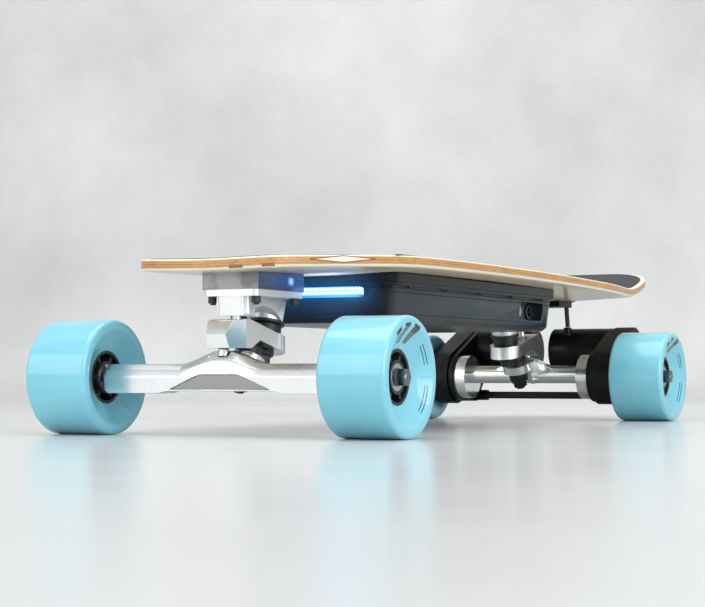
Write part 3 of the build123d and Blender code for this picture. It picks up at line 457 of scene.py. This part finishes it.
def makeDeck():
    rim = deckRim()
    spine = np.stack([0 * rim[:, 0], np.clip(rim[:, 1], board["nose"] + 95, board["tail"] - 85)], -1)
    reach = np.linalg.norm(rim - spine, axis=1)
    turnTop, turnLow, deep = deckLook["topEdge"], deckLook["lowEdge"], deckLook["thickness"]
    a = np.linspace(0, np.pi / 2, 7)
    inset = np.concatenate([turnTop * (1 - np.sin(a)), np.zeros(16), turnLow * (1 - np.cos(a))])
    depth = np.concatenate([turnTop * (1 - np.cos(a)), np.linspace(turnTop, deep - turnLow, 18)[1:-1],
                            deep - turnLow * (1 - np.sin(a))])
    flat = np.linspace(0, 1, 15)[:-1]
    share = np.concatenate([np.tile(flat, (len(rim), 1)) * (1 - turnTop / reach[:, None]),
                            1 - inset[None] / reach[:, None],
                            (np.tile(flat, (len(rim), 1)) * (1 - turnLow / reach[:, None]))[:, ::-1]], 1)
    depths = np.concatenate([np.zeros(14), depth, np.full(14, deep)])[None] + 0 * share
    x = spine[:, :1] + (rim[:, :1] - spine[:, :1]) * share
    y = spine[:, 1:] + (rim[:, 1:] - spine[:, 1:]) * share
    points = deckPoint(x, y, depths)
    return makePiece("deck_board", [(points, True, False)], 50, {"depth": [depths]}, "root", deckMaterial())


def deckMaterial():
    look = deckLook
    material, tree, shader, place = startMaterial("bambooPly", **{"Coat Weight": 0.35, "Coat Roughness": 0.12})
    depth = tree.nodes.new("ShaderNodeAttribute")
    depth.attribute_name = "depth"
    depth = depth.outputs["Fac"]
    streak = addGroup(tree, streakGroup, place, Scale=420.0).outputs["Streak"]
    broad = addGroup(tree, streakGroup, place, Scale=90.0).outputs["Streak"]
    bamboo = mixColour(tree, rangeOf(tree, streak, 0, 1, 0.35, 0.65), look["bamboo"], look["bambooDark"])
    bamboo = mixColour(tree, rangeOf(tree, broad, 0, 0.5, 0.35, 0.7), bamboo, (0.74, 0.44, 0.16))
    glue = None
    for line, width in ((2.7, 0.2), (4.4, 0.3), (6.1, 0.2)):
        band = between(tree, depth, line - width, line + width, 0.12)
        glue = band if glue is None else mathNode(tree, "MAXIMUM", glue, band)
    broken = rangeOf(tree, noiseOf(tree, place, 55.0, 2.0), 0.35, 1.0, 0.42, 0.6)
    bamboo = mixColour(tree, mathNode(tree, "MULTIPLY", glue, broken), bamboo, look["glue"])
    cream = mixColour(tree, rangeOf(tree, streak, 0, 0.45, 0.3, 0.7), look["cream"], (0.80, 0.70, 0.52))
    under = mixColour(tree, rangeOf(tree, streak, 0, 0.6, 0.35, 0.7), look["under"], (0.66, 0.54, 0.35))
    colour = mixColour(tree, between(tree, depth, look["topPly"], look["lowPly"], 0.1), cream, bamboo)
    # a painted highlight: a pale lens on the band above the front wheel, where the wheel well's lit scoop shines,
    # with a brown border for the plies' own edges; and two brown patches at the nose
    parts = tree.nodes.new("ShaderNodeSeparateXYZ")
    link(tree, place, parts.inputs[0])
    along = mathNode(tree, "DIVIDE", mathNode(tree, "SUBTRACT", parts.outputs[1], look["wellHighlightY"]), look["wellHighlightHalf"])
    sag = mathNode(tree, "SUBTRACT", 1.0, mathNode(tree, "ABSOLUTE", along), True)
    low = mathNode(tree, "MULTIPLY", sag, look["wellHighlightThick"])
    apart = mathNode(tree, "ABSOLUTE", mathNode(tree, "SUBTRACT", depth, look["wellHighlightDepth"]))
    border = between(tree, mathNode(tree, "SUBTRACT", apart, low), -0.5, 0.5, 0.15)
    border = mathNode(tree, "MULTIPLY", border, between(tree, sag, 0.04, 2.0, 0.02))
    # painted highlight: the pale fill of the lens; its brown border is the plies' own colour
    wellHighlight = between(tree, mathNode(tree, "SUBTRACT", low, apart), 0.3, 20.0, 0.2)
    colour = mixColour(tree, wellHighlight, colour, (0.88, 0.80, 0.66))
    colour = mixColour(tree, border, colour, (0.26, 0.09, 0.02))
    across, lengthwise = parts.outputs[0], parts.outputs[1]
    patch = mathNode(tree, "ADD", between(tree, across, 0.024, 0.037, 0.0006),
                     between(tree, across, 0.053, 0.062, 0.0006))
    patch = mathNode(tree, "MULTIPLY", patch, between(tree, depth, 6.2, 8.8, 0.3))
    patch = mathNode(tree, "MULTIPLY", patch, between(tree, lengthwise, -0.5, -0.42, 0.001))
    colour = mixColour(tree, patch, colour, (0.30, 0.12, 0.05))
    colour = mixColour(tree, between(tree, depth, 9.5, 20.0, 0.2), colour, under)
    link(tree, colour, shader.inputs["Base Color"])
    link(tree, rangeOf(tree, broad, 0.30, 0.46), shader.inputs["Roughness"])
    addBump(tree, shader, streak, 0.2, 0.0002)
    return material


deck = makeDeck()
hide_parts("deck")

gripLook = {"base": (0.035, 0.036, 0.04), "grit": (0.13, 0.13, 0.14), "scale": 1500.0}


def gripMaterial():
    material, tree, shader, place = startMaterial("gripGrit", Roughness=0.92)
    cells = tree.nodes.new("ShaderNodeTexVoronoi")
    cells.inputs["Scale"].default_value = gripLook["scale"]
    link(tree, place, cells.inputs["Vector"])
    spark = rangeOf(tree, cells.outputs["Distance"], 1.0, 0.0, 0.1, 0.55)
    cloud = addGroup(tree, grainGroup, place, Grain_Scale=700.0, Cloud_Scale=9.0)
    base = mixColour(tree, rangeOf(tree, cloud.outputs["Tone"], 0, 1), gripLook["base"], (0.055, 0.055, 0.06))
    colour = mixColour(tree, mathNode(tree, "MULTIPLY", spark, 0.5), base, gripLook["grit"])
    link(tree, colour, shader.inputs["Base Color"])
    link(tree, rangeOf(tree, cloud.outputs["Height"], 0.8, 0.98), shader.inputs["Roughness"])
    addBump(tree, shader, spark, 0.7, 0.0004)
    return material


made["grip"] = gripMaterial()
print("deck made")


tyreLook = {"radius": 48.5, "half": 29.75, "core": 22.4, "outerDish": 12.0, "innerDish": 10.0, "edge": 3.9,
            "lip": 4.4, "blue": (0.18, 0.56, 0.69), "paler": (0.23, 0.62, 0.75), "ink": (0.003, 0.003, 0.004)}
wheelPlaces = {"front_left": (137.5, board["frontAxle"], 1), "front_right": (-137.5, board["frontAxle"], -1),
               "rear_left": (142.5, board["rearAxle"], 1), "rear_right": (-142.5, board["rearAxle"], -1)}


printLook = {"bars": (0.205, 0.270, 0.335), "barHalf": 0.0190, "block": (0.0362, 0.0428), "strip": (0.0270, 0.0362),
             "stripInk": 0.8, "arcs": (0.0344, 0.0365), "arcWidth": 0.0006, "spans": ((0.045, 0.125), (-0.14, -0.03))}


def makePrintGroup():
    # plain bars and arcs on a wheel's face: radius about the axle in metres, angle in turns
    look = printLook
    group = bpy.data.node_groups.new("facePrint", "ShaderNodeTree")
    socket(group, "Vector", "Vector", "INPUT")
    socket(group, "Mask", "Float", "OUTPUT")
    start, end = group.nodes.new("NodeGroupInput"), group.nodes.new("NodeGroupOutput")
    parts = group.nodes.new("ShaderNodeSeparateXYZ")
    link(group, start.outputs["Vector"], parts.inputs[0])
    y, z = parts.outputs[1], parts.outputs[2]
    squares = mathNode(group, "ADD", mathNode(group, "MULTIPLY", y, y), mathNode(group, "MULTIPLY", z, z))
    radius = mathNode(group, "SQRT", squares)
    turn = mathNode(group, "DIVIDE", mathNode(group, "ARCTAN2", z, y), 2 * math.pi)
    slant = mathNode(group, "ADD", turn, mathNode(group, "SUBTRACT", radius, 0.0425))  # the bars lean
    bars = None
    for place in look["bars"]:
        bar = between(group, slant, place - look["barHalf"], place + look["barHalf"], 0.0006)
        bars = bar if bars is None else mathNode(group, "ADD", bars, bar)
    block = between(group, radius, *look["block"], 0.0002)
    strip = mathNode(group, "MULTIPLY", between(group, radius, *look["strip"], 0.0003), look["stripInk"])
    bars = mathNode(group, "MULTIPLY", bars, mathNode(group, "ADD", block, strip))
    innerArc, outerArc = (between(group, radius, r, r + look["arcWidth"], 0.0001) for r in look["arcs"])
    arcs = mathNode(group, "ADD", innerArc, outerArc)
    span = mathNode(group, "ADD", *(between(group, turn, *ends, 0.002) for ends in look["spans"]))
    arcs = mathNode(group, "MULTIPLY", arcs, span)
    link(group, mathNode(group, "MAXIMUM", bars, arcs), end.inputs["Mask"])
    return group


printGroup = makePrintGroup()


def tyreMaterial(name, centre):
    look = tyreLook
    gloss = {"Coat Weight": 0.9, "Coat Roughness": 0.07, "Subsurface Weight": 0.12,
             "Subsurface Radius": (0.004, 0.010, 0.012)}
    material, tree, shader, place = startMaterial("urethane_" + name, **gloss)
    centred = tree.nodes.new("ShaderNodeMapping")
    centred.inputs["Location"].default_value = (-centre[0] * mm, -centre[1] * mm, -board["axleHeight"] * mm)
    link(tree, place, centred.inputs["Vector"])
    spots = tree.nodes.new("ShaderNodeGroup")
    spots.node_tree = printGroup
    link(tree, centred.outputs[0], spots.inputs["Vector"])
    face = tree.nodes.new("ShaderNodeAttribute")
    face.attribute_name = "outerFace"
    mask = mathNode(tree, "MULTIPLY", spots.outputs["Mask"], face.outputs["Fac"])
    grain = addGroup(tree, grainGroup, place, Grain_Scale=1400.0, Cloud_Scale=16.0)
    blue = mixColour(tree, rangeOf(tree, grain.outputs["Tone"], 0, 1), look["blue"], look["paler"])
    link(tree, mixColour(tree, mask, blue, look["ink"]), shader.inputs["Base Color"])
    link(tree, rangeOf(tree, grain.outputs["Tone"], 0.30, 0.42), shader.inputs["Roughness"])
    addBump(tree, shader, grain.outputs["Height"], 0.08, 0.0001)
    return material


def makeTyre(name):
    x, y, sign = wheelPlaces[name]
    look = tyreLook
    r, half, edge = look["radius"], look["half"], look["edge"]
    a = np.linspace(0, np.pi / 2, 12)
    lip = r - edge - look["lip"]
    outerEdge = np.stack([half - edge + edge * np.sin(a[::-1]), r - edge + edge * np.cos(a[::-1])], -1)
    innerEdge = outerEdge[::-1] * [-1, 1]
    outerFace = np.stack([np.linspace(half - look["outerDish"], half, 12) - 0.9 * np.sin(np.linspace(0, np.pi, 12)),
                          np.linspace(look["core"], lip, 12)], -1)
    outerLip = np.array([[half + 0.0, lip + 1.0], [half, r - edge - 0.6]])
    innerFace = np.stack([-np.linspace(half, half - look["innerDish"], 12), np.linspace(lip, look["core"], 12)], -1)
    profile = np.vstack([outerFace, outerLip, outerEdge, innerEdge, [[-half, r - edge - 0.6]], innerFace])
    middle = np.array([[-(half - look["innerDish"]), look["core"]], [half - look["outerDish"], look["core"]]])
    profile = np.vstack([profile, middle])
    grid, loopRows, loopColumns = turned(profile, (x, y, board["axleHeight"]), (sign, 0, 0), 144, True)
    face = (profile[:, 0] > half - look["outerDish"] - 0.01) & (profile[:, 1] < r - 1.5)
    mark = np.tile(face.astype(float), (len(grid), 1))
    piece = makePiece(name + "_urethane", [(grid, loopRows, loopColumns)], 34, {"outerFace": [mark]}, name + "_wheel",
                      tyreMaterial(name, (x, y)))
    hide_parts(name + "_tyre")


for wheelName in wheelPlaces:
    makeTyre(wheelName)
print("tyres made")


hangerLook = {"end": 112.25, "low": 37.0, "top": 59.4, "peak": 69.8, "rise": 38.0, "flat": 7.0, "panelDepth": 1.5,
              "eyeCentre": (31.0, 60.5), "eyeRadius": 16.0, "eyeHalf": 4.5, "bore": 8.2, "ball": (-4.0, 84.0),
              "dull": (0.78, 0.785, 0.79), "duller": (0.745, 0.75, 0.755)}


def hangerBar():
    # stations along x; each a rounded polygon whose upper corners climb with lift(x) to the central peak
    look = hangerLook
    x = np.unique(np.concatenate([np.linspace(-look["end"], look["end"], 141), np.linspace(-52, 52, 209)]))
    t = np.clip((look["rise"] - abs(x)) / (look["rise"] - look["flat"]), 0, 1)
    lift = t * t * (3 - 2 * t) * 0.35 + t * 0.65
    rise = look["peak"] - look["top"]
    rows = np.linspace(0, 1, 16)
    frontY, frontZ = -12 - 1.5 * rows, look["low"] + (48.5 - look["low"]) * rows
    lowFront = np.stack([frontY + 0 * x[:, None], frontZ + 2.5 * lift[:, None] * rows], -1)
    def corner(y, z, climb):
        return np.stack([y + 0 * x, z + climb * rise * lift], -1)[:, None]
    loop = np.concatenate([lowFront, corner(-10.8, 54.3, 0.72), corner(-5.2, look["top"], 1.0),
                           corner(5.2, look["top"], 1.0), corner(10.8, 54.3, 0.72), corner(13.5, 48.5, 0.1),
                           corner(12, look["low"], 0)], 1)
    loop = roundedLoop(loop, 1.3, 4)
    z = loop[..., 1]
    drop = np.clip((abs(x)[:, None] - 50) / 8, 0, 1) * np.clip((45 - z) / 8, 0, 1) * 2.0
    z = z - drop * (abs(x)[:, None] < look["end"] - 2)
    side = np.clip((18 + (51.0 - z) * 31 / 13 - abs(x)[:, None]) / 1.2, 0, 1)
    inside = side * np.clip((51.0 - z) / 0.8, 0, 1) * np.clip((z - 38.2) / 0.8, 0, 1) * (loop[..., 0] < -11)
    inside = inside * inside * (3 - 2 * inside)
    y = loop[..., 0] + look["panelDepth"] * inside
    grid = np.stack([np.broadcast_to(x[:, None], y.shape), board["frontAxle"] + y, z], -1)
    hub = np.array([0, board["frontAxle"], 48.5])
    ends = []
    for index, way in ((0, -1), (-1, 1)):
        ring = grid[index]
        shrunk = [hub + [way * look["end"], 0, 0] + (ring - hub) * [0, s, s] for s in (1.0, 0.94, 0.33)]
        shrunk[0][:, 0] -= way * 0.8
        ends.append(np.stack(shrunk))
    grid[0, :, 0] = -look["end"] + 0.8
    grid[-1, :, 0] = look["end"] - 0.8
    ends[0][0], ends[1][0] = grid[0], grid[-1]
    return (grid, False, True), (ends[0], False, True), (ends[1], False, True), inside


def pinWay(tilt, rear=False):
    lean = math.radians(tilt)
    return np.array([0, -math.sin(lean) if rear else math.sin(lean), math.cos(lean)])


def truckPoint(place, rear=False):
    return np.array([0, board["rearAxle"] - place[0] if rear else board["frontAxle"] + place[0], place[1]])


def makeFrontHanger():
    look = hangerLook
    bar, endLeft, endRight, inside = hangerBar()
    pin = pinWay(27.0)
    eye = softened([(-look["eyeHalf"], look["bore"]), (-look["eyeHalf"], look["eyeRadius"]),
                    (look["eyeHalf"], look["eyeRadius"]), (look["eyeHalf"], look["bore"])], 1.2, 5)
    eye = turned(eye, truckPoint(look["eyeCentre"]), pin, 72, True)
    ball = np.linspace(0, math.pi * 0.78, 20)
    neck = np.vstack([np.stack([5 * np.cos(ball), 5 * np.sin(ball)], -1), [[-9, 3.6], [-13, 4.4], [-18, 5.5]]])
    neck = turned(neck, truckPoint(look["ball"]), (0, 0, 1), 48)
    web = np.array([[-8, 66.5], [6, 69.5], [20, 69.0], [33, 60.5], [27, 50.0], [12, 44.0], [-8, 44.0]])
    half = np.array([[-11.0], [-12.5], [12.5], [11.0]])
    shrink = np.array([0.93, 1.0, 1.0, 0.93])[:, None, None]
    centre = web.mean(0)
    web = roundedLoop(centre + (web[None] - centre) * shrink, 2.5, 5)
    web = np.stack([np.broadcast_to(half, web.shape[:2]), board["frontAxle"] + web[..., 0], web[..., 1]], -1)
    caps = [np.stack([web[i], web[i].mean(0) + (web[i] - web[i].mean(0)) * 0.02]) for i in (0, -1)]
    surfaces = [bar, endLeft, endRight, eye, neck, (web, False, True), (caps[0], False, True), (caps[1], False, True)]
    marks = [inside] + [np.zeros(s[0].shape[:2]) for s in surfaces[1:]]
    piece = makePiece("front_hanger_forging", surfaces, 24, {"panel": marks}, "front_hanger", hangerMaterial())
    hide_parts("front_hanger")


def hangerMaterial():
    look = hangerLook
    material, tree, shader, place = startMaterial("forgedHanger", Metallic=1.0)
    grain = addGroup(tree, grainGroup, place, Grain_Scale=2600.0, Cloud_Scale=22.0)
    panel = tree.nodes.new("ShaderNodeAttribute")
    panel.attribute_name = "panel"
    base = mixColour(tree, rangeOf(tree, grain.outputs["Tone"], 0, 1), look["dull"], look["duller"])
    link(tree, mixColour(tree, panel.outputs["Fac"], base, (0.34, 0.34, 0.345)), shader.inputs["Base Color"])
    rough = rangeOf(tree, grain.outputs["Tone"], 0.22, 0.33)
    rough = mathNode(tree, "ADD", rough, mathNode(tree, "MULTIPLY", panel.outputs["Fac"], 0.14))
    link(tree, rough, shader.inputs["Roughness"])
    addBump(tree, shader, grain.outputs["Height"], 0.16, 0.00006)
    return material


makeFrontHanger()
print("front hanger made")


bushingLook = {"upper": ((61.0, 77.5), 13.0), "lower": ((31.0, 60.5), 27.0), "bulge": 0.5}


def makeBushing(name, node, ring, tilt, rear, start, end, radius):
    # barrel: radius plus a half-sine bulge between its two faces
    pin, origin = pinWay(tilt, rear), truckPoint(ring, rear)
    t = np.linspace(0, 1, 14)
    along = start + (end - start) * (0.5 - 0.5 * np.cos(np.pi * t))
    shoulder = 0.9 * np.clip(np.minimum(t, 1 - t) * 8, 0, 1)
    size = radius - 0.9 + shoulder - bushingLook["bulge"] * (1 - np.sin(np.pi * t))
    profile = np.vstack([[[start, 5.02]], np.stack([along, size], -1), [[end, 5.02]]])
    piece = makePiece(name, [turned(profile, origin, pin, 72, True)], 40, None, None, made["bushing"])
    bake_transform(piece)
    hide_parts(node)


for end, rear in (("front", False), ("rear", True)):
    ring, tilt = bushingLook["upper"]
    makeBushing(end + "_upper_bushing_top", end + "_upper_bushings", ring, tilt, rear, 16.0, 6.5, 13.5)
    makeBushing(end + "_upper_bushing_low", end + "_upper_bushings", ring, tilt, rear, -11.5, -6.5, 9.5)
    ring, tilt = bushingLook["lower"]
    makeBushing(end + "_lower_bushing_top", end + "_lower_bushings", ring, tilt, rear, 14.5, 4.5, 11.5)
    makeBushing(end + "_lower_bushing_low", end + "_lower_bushings", ring, tilt, rear, -16.5, -4.5, 10.5)
print("bushings made")


cableLook = {"x": 33.0, "bow": 1.2, "y": board["rearAxle"] + 43.0, "top": 127.5, "low": 104.8, "radius": 2.6}


def makeCable(name, sign, t0, t1):
    # tube round the line x(t) = x - bow(1+cos(pi t))/2, z falling from the clamp to the motor's gland
    look = cableLook
    t = np.linspace(t0, t1, 26)[:, None]
    a = np.linspace(0, 2 * np.pi, 28, endpoint=False)[None]
    x = look["x"] - look["bow"] * (0.5 + 0.5 * np.cos(np.pi * t))
    z = look["top"] + (look["low"] - look["top"]) * t
    rib = look["radius"] * (1 - 0.04 * (0.5 + 0.5 * np.cos(t * 2 * np.pi * 14)))
    grid = np.stack([sign * (x + rib * np.cos(a)), look["y"] + rib * np.sin(a), z + 0 * a], -1)
    capFirst, capLast = (ring.mean(1, keepdims=True) * 0.98 + ring * 0.02 for ring in (grid[:1], grid[-1:]))
    rings = np.concatenate([capFirst, grid, capLast])
    piece = makePiece(name, [(rings, False, True)], 60, None, None, made["cable"])
    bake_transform(piece)
    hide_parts("motor_cables")


for sideName, sign in (("left", 1), ("right", -1)):
    makeCable(sideName + "_cable_upper", sign, 0.0, 0.5)
    makeCable(sideName + "_cable_lower", sign, 0.5, 1.0)
print("cables made")


barLook = {"glow": (0.02, 0.26, 0.80), "hot": (0.92, 0.97, 1.0), "strength": 1.5, "pitch": 0.0034}


def lightBarMaterial():
    lens = {"Base Color": (0.03, 0.10, 0.25, 1), "Roughness": 0.25, "Emission Strength": barLook["strength"]}
    material, tree, shader, place = startMaterial("lightLens", **lens)
    parts = tree.nodes.new("ShaderNodeSeparateXYZ")
    link(tree, place, parts.inputs[0])
    wave = mathNode(tree, "SINE", mathNode(tree, "MULTIPLY", parts.outputs[0], 2 * math.pi / barLook["pitch"]))
    dots = rangeOf(tree, wave, 0.3, 1.0, -0.8, 0.4)
    row = between(tree, parts.outputs[2], 0.1236, 0.1262, 0.0006)
    colour = mixColour(tree, mathNode(tree, "MULTIPLY", dots, row), barLook["glow"], barLook["hot"])
    core = between(tree, parts.outputs[2], 0.1203, 0.1230, 0.0010)
    colour = mixColour(tree, core, colour, (0.62, 0.85, 1.0))
    link(tree, colour, shader.inputs["Emission Color"])
    addBump(tree, shader, dots, 0.3, 0.0002)
    return material


# riser colours: smoke grey, a pale grey painted as the wall's reflection, and blues and a near-white that are painted
# light
riserLook = {"smoke": (0.20, 0.20, 0.21), "paleReflection": (0.42, 0.42, 0.44), "side": (0.035, 0.05, 0.10),
             "blue": (0.012, 0.05, 0.17), "reflectionSpot": (0.30, 0.50, 0.95)}


def riserMaterial():
    # smoked plastic with pale patches, a painted reflection of the wall; the blue light from inside towards the left
    # side painted on as blue colour and blue glow, with one bright spot and one faint spot as painted reflections
    material, tree, shader, place = startMaterial("smokedRiser", **{"Roughness": 0.22, "Coat Weight": 0.3,
                                                  "Emission Strength": 1.6})
    parts = tree.nodes.new("ShaderNodeSeparateXYZ")
    link(tree, place, parts.inputs[0])
    grain = addGroup(tree, grainGroup, place, Grain_Scale=600.0, Cloud_Scale=42.0)
    # painted reflection: pale cloudy patches of the wall's reflection mixed into the smoke grey
    reflectionPatches = rangeOf(tree, grain.outputs["Tone"], 0, 1, 0.42, 0.58)
    # painted light: the left side gets a blue colour where the lights shine on it
    sideGlow = between(tree, parts.outputs[0], 0.0262, 0.05, 0.0010)
    smoke = mixColour(tree, reflectionPatches, riserLook["smoke"], riserLook["paleReflection"])
    link(tree, mixColour(tree, sideGlow, smoke, riserLook["side"]), shader.inputs["Base Color"])
    along, height = parts.outputs[1], parts.outputs[2]
    front = board["frontAxle"]
    # painted light: a blue glow on the left side as emission, stronger towards the back
    glow = mathNode(tree, "MULTIPLY", sideGlow, between(tree, height, 0.1225, 0.1345, 0.0030))
    glow = mathNode(tree, "MULTIPLY", glow, rangeOf(tree, along, 0.15, 1.0, front * mm, (front + 75) * mm))
    # painted reflections: a bright spot and a faint one, as emission
    far = between(tree, along, (front + 57) * mm, (front + 63) * mm, 0.004)
    close = between(tree, along, (front - 8) * mm, (front - 3) * mm, 0.003)
    spots = mathNode(tree, "ADD", far, mathNode(tree, "MULTIPLY", close, 0.3))
    level = mathNode(tree, "MULTIPLY", between(tree, height, 0.1262, 0.1312, 0.002), sideGlow)
    reflectionSpot = mathNode(tree, "MULTIPLY", spots, level)
    colour = mixColour(tree, glow, (0, 0, 0), riserLook["blue"])
    link(tree, mixColour(tree, reflectionSpot, colour, riserLook["reflectionSpot"]), shader.inputs["Emission Color"])
    addBump(tree, shader, grain.outputs["Height"], 0.1, 0.0001)
    return material


def lightBoardMaterial():
    material, tree, shader, place = startMaterial("lightBoard", **{"Roughness": 0.4, "Emission Strength": 1.5})
    grain = addGroup(tree, grainGroup, place, Grain_Scale=900.0, Cloud_Scale=60.0)
    tone = rangeOf(tree, grain.outputs["Tone"], 0, 1)
    link(tree, mixColour(tree, tone, (0.7, 0.75, 0.8), (0.55, 0.62, 0.7)), shader.inputs["Base Color"])
    link(tree, mixColour(tree, tone, (0.1, 0.3, 1.0), (0.3, 0.5, 1.0)), shader.inputs["Emission Color"])
    return material


made["lightBar"] = lightBarMaterial()
made["riser"] = riserMaterial()
made["lightBoard"] = lightBoardMaterial()
print("lights made")


roundedNodes = {
    "front_baseplate": ("root", "plateAluminium", 0.7), "rear_baseplate": ("root", "plateAluminium", 0.7),
    "front_riser": ("root", "riser", 0.6), "rear_riser": ("root", "riser", 0.6),
    "front_knuckle": ("front_knuckle", "aluminium", 0.9), "rear_knuckle": ("rear_knuckle", "aluminium", 0.9),
    "rear_hanger": ("rear_hanger", "aluminium", 0.7),
    "left_motor_mount": ("rear_hanger", "anodised", 0.7), "right_motor_mount": ("rear_hanger", "anodised", 0.7),
    "left_motor_housing": ("rear_hanger", "anodised", 0.7), "right_motor_housing": ("rear_hanger", "anodised", 0.7),
    "left_belt_cover": ("rear_hanger", "coverPlastic", 0.6), "right_belt_cover": ("rear_hanger", "coverPlastic", 0.6),
    "motor_brace": ("rear_hanger", "anodised", 0.6),
    "enclosure_shell": ("root", "boxPlastic", 0.6), "cable_clamp": ("root", "coverPlastic", 0.6),
    "front_axle_nuts": ("front_hanger", "nutSteel", 0.4), "rear_axle_nuts": ("rear_hanger", "nutSteel", 0.4),
    "front_lower_kingpin": ("front_knuckle", "blackSteel", 0.4),
    "rear_lower_kingpin": ("rear_knuckle", "blackSteel", 0.4),
    "upper_kingpins": ("root", "blackSteel", 0.4), "upper_kingpin_washers": ("root", "blackSteel", 0.4),
    "deck_nuts": ("root", "blackSteel", 0.35), "deck_bolts": ("root", "blackSteel", 0.25),
    "charge_port": ("root", "port", 0.3), "power_button": ("power_button", "button", 0.25),
}
plainNodes = {
    "grip_tape": "grip", "riser_lights": "lightBoard", "light_bar": "lightBar", "upper_pivot_cups": "bushing",
    "enclosure_screws": "blackSteel", "battery_pack": "battery", "motor_controller": "heatsink",
    "front_axle": "nutSteel", "rear_axle": "nutSteel", "left_drive_belt": "belt", "right_drive_belt": "belt",
    "left_motor_rotor": "rotor", "right_motor_rotor": "rotor",
}
for wheelName in wheelPlaces:
    roundedNodes[wheelName + "_wheel_core"] = (wheelName + "_wheel", "nylon", 0.4)
    roundedNodes[wheelName + "_bearings"] = (wheelName + "_wheel", "bearing", 0.35)
for sideName in ("left", "right"):
    roundedNodes[sideName + "_wheel_pulley"] = ("rear_" + sideName + "_wheel", "nylon", 0.3)
for name, (body, finishName, width) in roundedNodes.items():
    softCopy(name, body, made[finishName], width)
for name, finishName in plainNodes.items():
    nodes[name].data.materials.clear()
    nodes[name].data.materials.append(made[finishName])
print("frame pieces finished")


cameraLook = {"place": (0.78178, -1.69569, 0.05012), "yaw": 27.17, "pitch": 2.22, "lens": 94.4}
stageLook = {"wallDistance": 3.9, "bend": 0.25,
             "floor": ((0.66, 0.665, 0.66), (0.57, 0.575, 0.57), (0.16, 0.27), 2.2),
             "wall": ((0.72, 0.72, 0.70), (0.56, 0.56, 0.545), (0.6, 0.8), 2.6)}

camera = bpy.data.objects.new("camera", bpy.data.cameras.new("camera"))
bpy.context.scene.collection.objects.link(camera)
bpy.context.scene.camera = camera
camera.location = cameraLook["place"]
camera.rotation_euler = (math.radians(90 + cameraLook["pitch"]), 0, math.radians(cameraLook["yaw"]))
camera.data.lens = cameraLook["lens"]
camera.data.sensor_width = 36
camera.data.sensor_fit = "HORIZONTAL"
camera.data.clip_start, camera.data.clip_end = 0.05, 40


def stageMaterial(name, colour, second, rough, scale, back):
    # clear when looked at from its back, the side that the vector back points to
    material, tree, shader, place = startMaterial(name)
    facing = tree.nodes.new("ShaderNodeVectorMath")
    facing.operation = "DOT_PRODUCT"
    facing.inputs[1].default_value = back
    link(tree, tree.nodes.new("ShaderNodeNewGeometry").outputs["Incoming"], facing.inputs[0])
    blend = tree.nodes.new("ShaderNodeMixShader")
    link(tree, mathNode(tree, "GREATER_THAN", facing.outputs["Value"], 0.0), blend.inputs[0])
    link(tree, shader.outputs[0], blend.inputs[1])
    link(tree, tree.nodes.new("ShaderNodeBsdfTransparent").outputs[0], blend.inputs[2])
    link(tree, blend.outputs[0], tree.nodes["Material Output"].inputs["Surface"])
    cloud = noiseOf(tree, place, scale, 6.0, 0.62)
    link(tree, mixColour(tree, rangeOf(tree, cloud, 0, 1, 0.3, 0.7), colour, second), shader.inputs["Base Color"])
    link(tree, rangeOf(tree, cloud, *rough), shader.inputs["Roughness"])
    return material


def makeStage():
    # floor runs back from the camera, turns up through a quarter circle, and goes on as the wall
    way = np.array([-math.sin(math.radians(cameraLook["yaw"])), math.cos(math.radians(cameraLook["yaw"]))])
    across = np.array([way[1], -way[0]])
    start = np.array(cameraLook["place"][:2])
    far, bend = stageLook["wallDistance"], stageLook["bend"]
    a = np.linspace(0, np.pi / 2, 24)
    along = np.concatenate([[-3.0, 0.0, 1.0], far - bend + bend * np.sin(a), [far]])
    up = np.concatenate([[0.0, 0.0, 0.0], bend - bend * np.cos(a), [6.0]])
    side = np.array([-7.0, 7.0])
    for name, rows, material in (("floor", slice(0, 4), floorMaterial), ("wall", slice(3, None), wallMaterial)):
        flat = start[None, None] + along[rows][:, None, None] * way + side[None, :, None] * across
        grid = np.concatenate([flat, np.broadcast_to(up[rows][:, None, None], flat.shape[:2] + (1,))], -1) / mm
        makePiece(name, [(grid, False, False)], 60, None, None, material)


wallBack = (-math.sin(math.radians(cameraLook["yaw"])), math.cos(math.radians(cameraLook["yaw"])), 0.0)
floorMaterial = stageMaterial("floorPaint", *stageLook["floor"], (0.0, 0.0, -1.0))
wallMaterial = stageMaterial("wallPaint", *stageLook["wall"], wallBack)
makeStage()

world = bpy.data.worlds.new("studio")
bpy.context.scene.world = world
world.use_nodes = True
world.node_tree.nodes["Background"].inputs["Color"].default_value = (0.93, 0.97, 1.0, 1)
world.node_tree.nodes["Background"].inputs["Strength"].default_value = 0.75

lamps = {"overhead": ((0.2, -0.2, 2.6), (0.0, 0.0, 0.05), (3.2, 2.4), 52.0, (1.0, 1.0, 1.0)),
         "front": ((-0.9, -2.4, 0.9), (0.0, -0.3, 0.08), (2.4, 1.4), 17.0, (1.0, 0.99, 0.97)),
         "left": ((2.2, -1.0, 0.8), (0.0, -0.2, 0.08), (1.8, 1.4), 26.0, (0.96, 0.99, 1.0)),
         "barGlow": ((0.035, -0.30, 0.112), (0.03, -0.27, 0.14), (0.02, 0.01), 0.035, (0.45, 0.62, 1.0))}
for name, (place, target, size, power, colour) in lamps.items():
    lamp = bpy.data.lights.new(name, "AREA")
    lamp.shape = "RECTANGLE"
    lamp.size, lamp.size_y, lamp.energy, lamp.color = size[0], size[1], power, colour
    holder = bpy.data.objects.new(name, lamp)
    bpy.context.scene.collection.objects.link(holder)
    holder.location = place
    holder.rotation_mode = "QUATERNION"
    holder.rotation_quaternion = (Vector(target) - Vector(place)).to_track_quat("-Z", "Y")
    holder.visible_camera = False
bpy.context.scene.view_settings.view_transform = "Standard"
print("studio set")
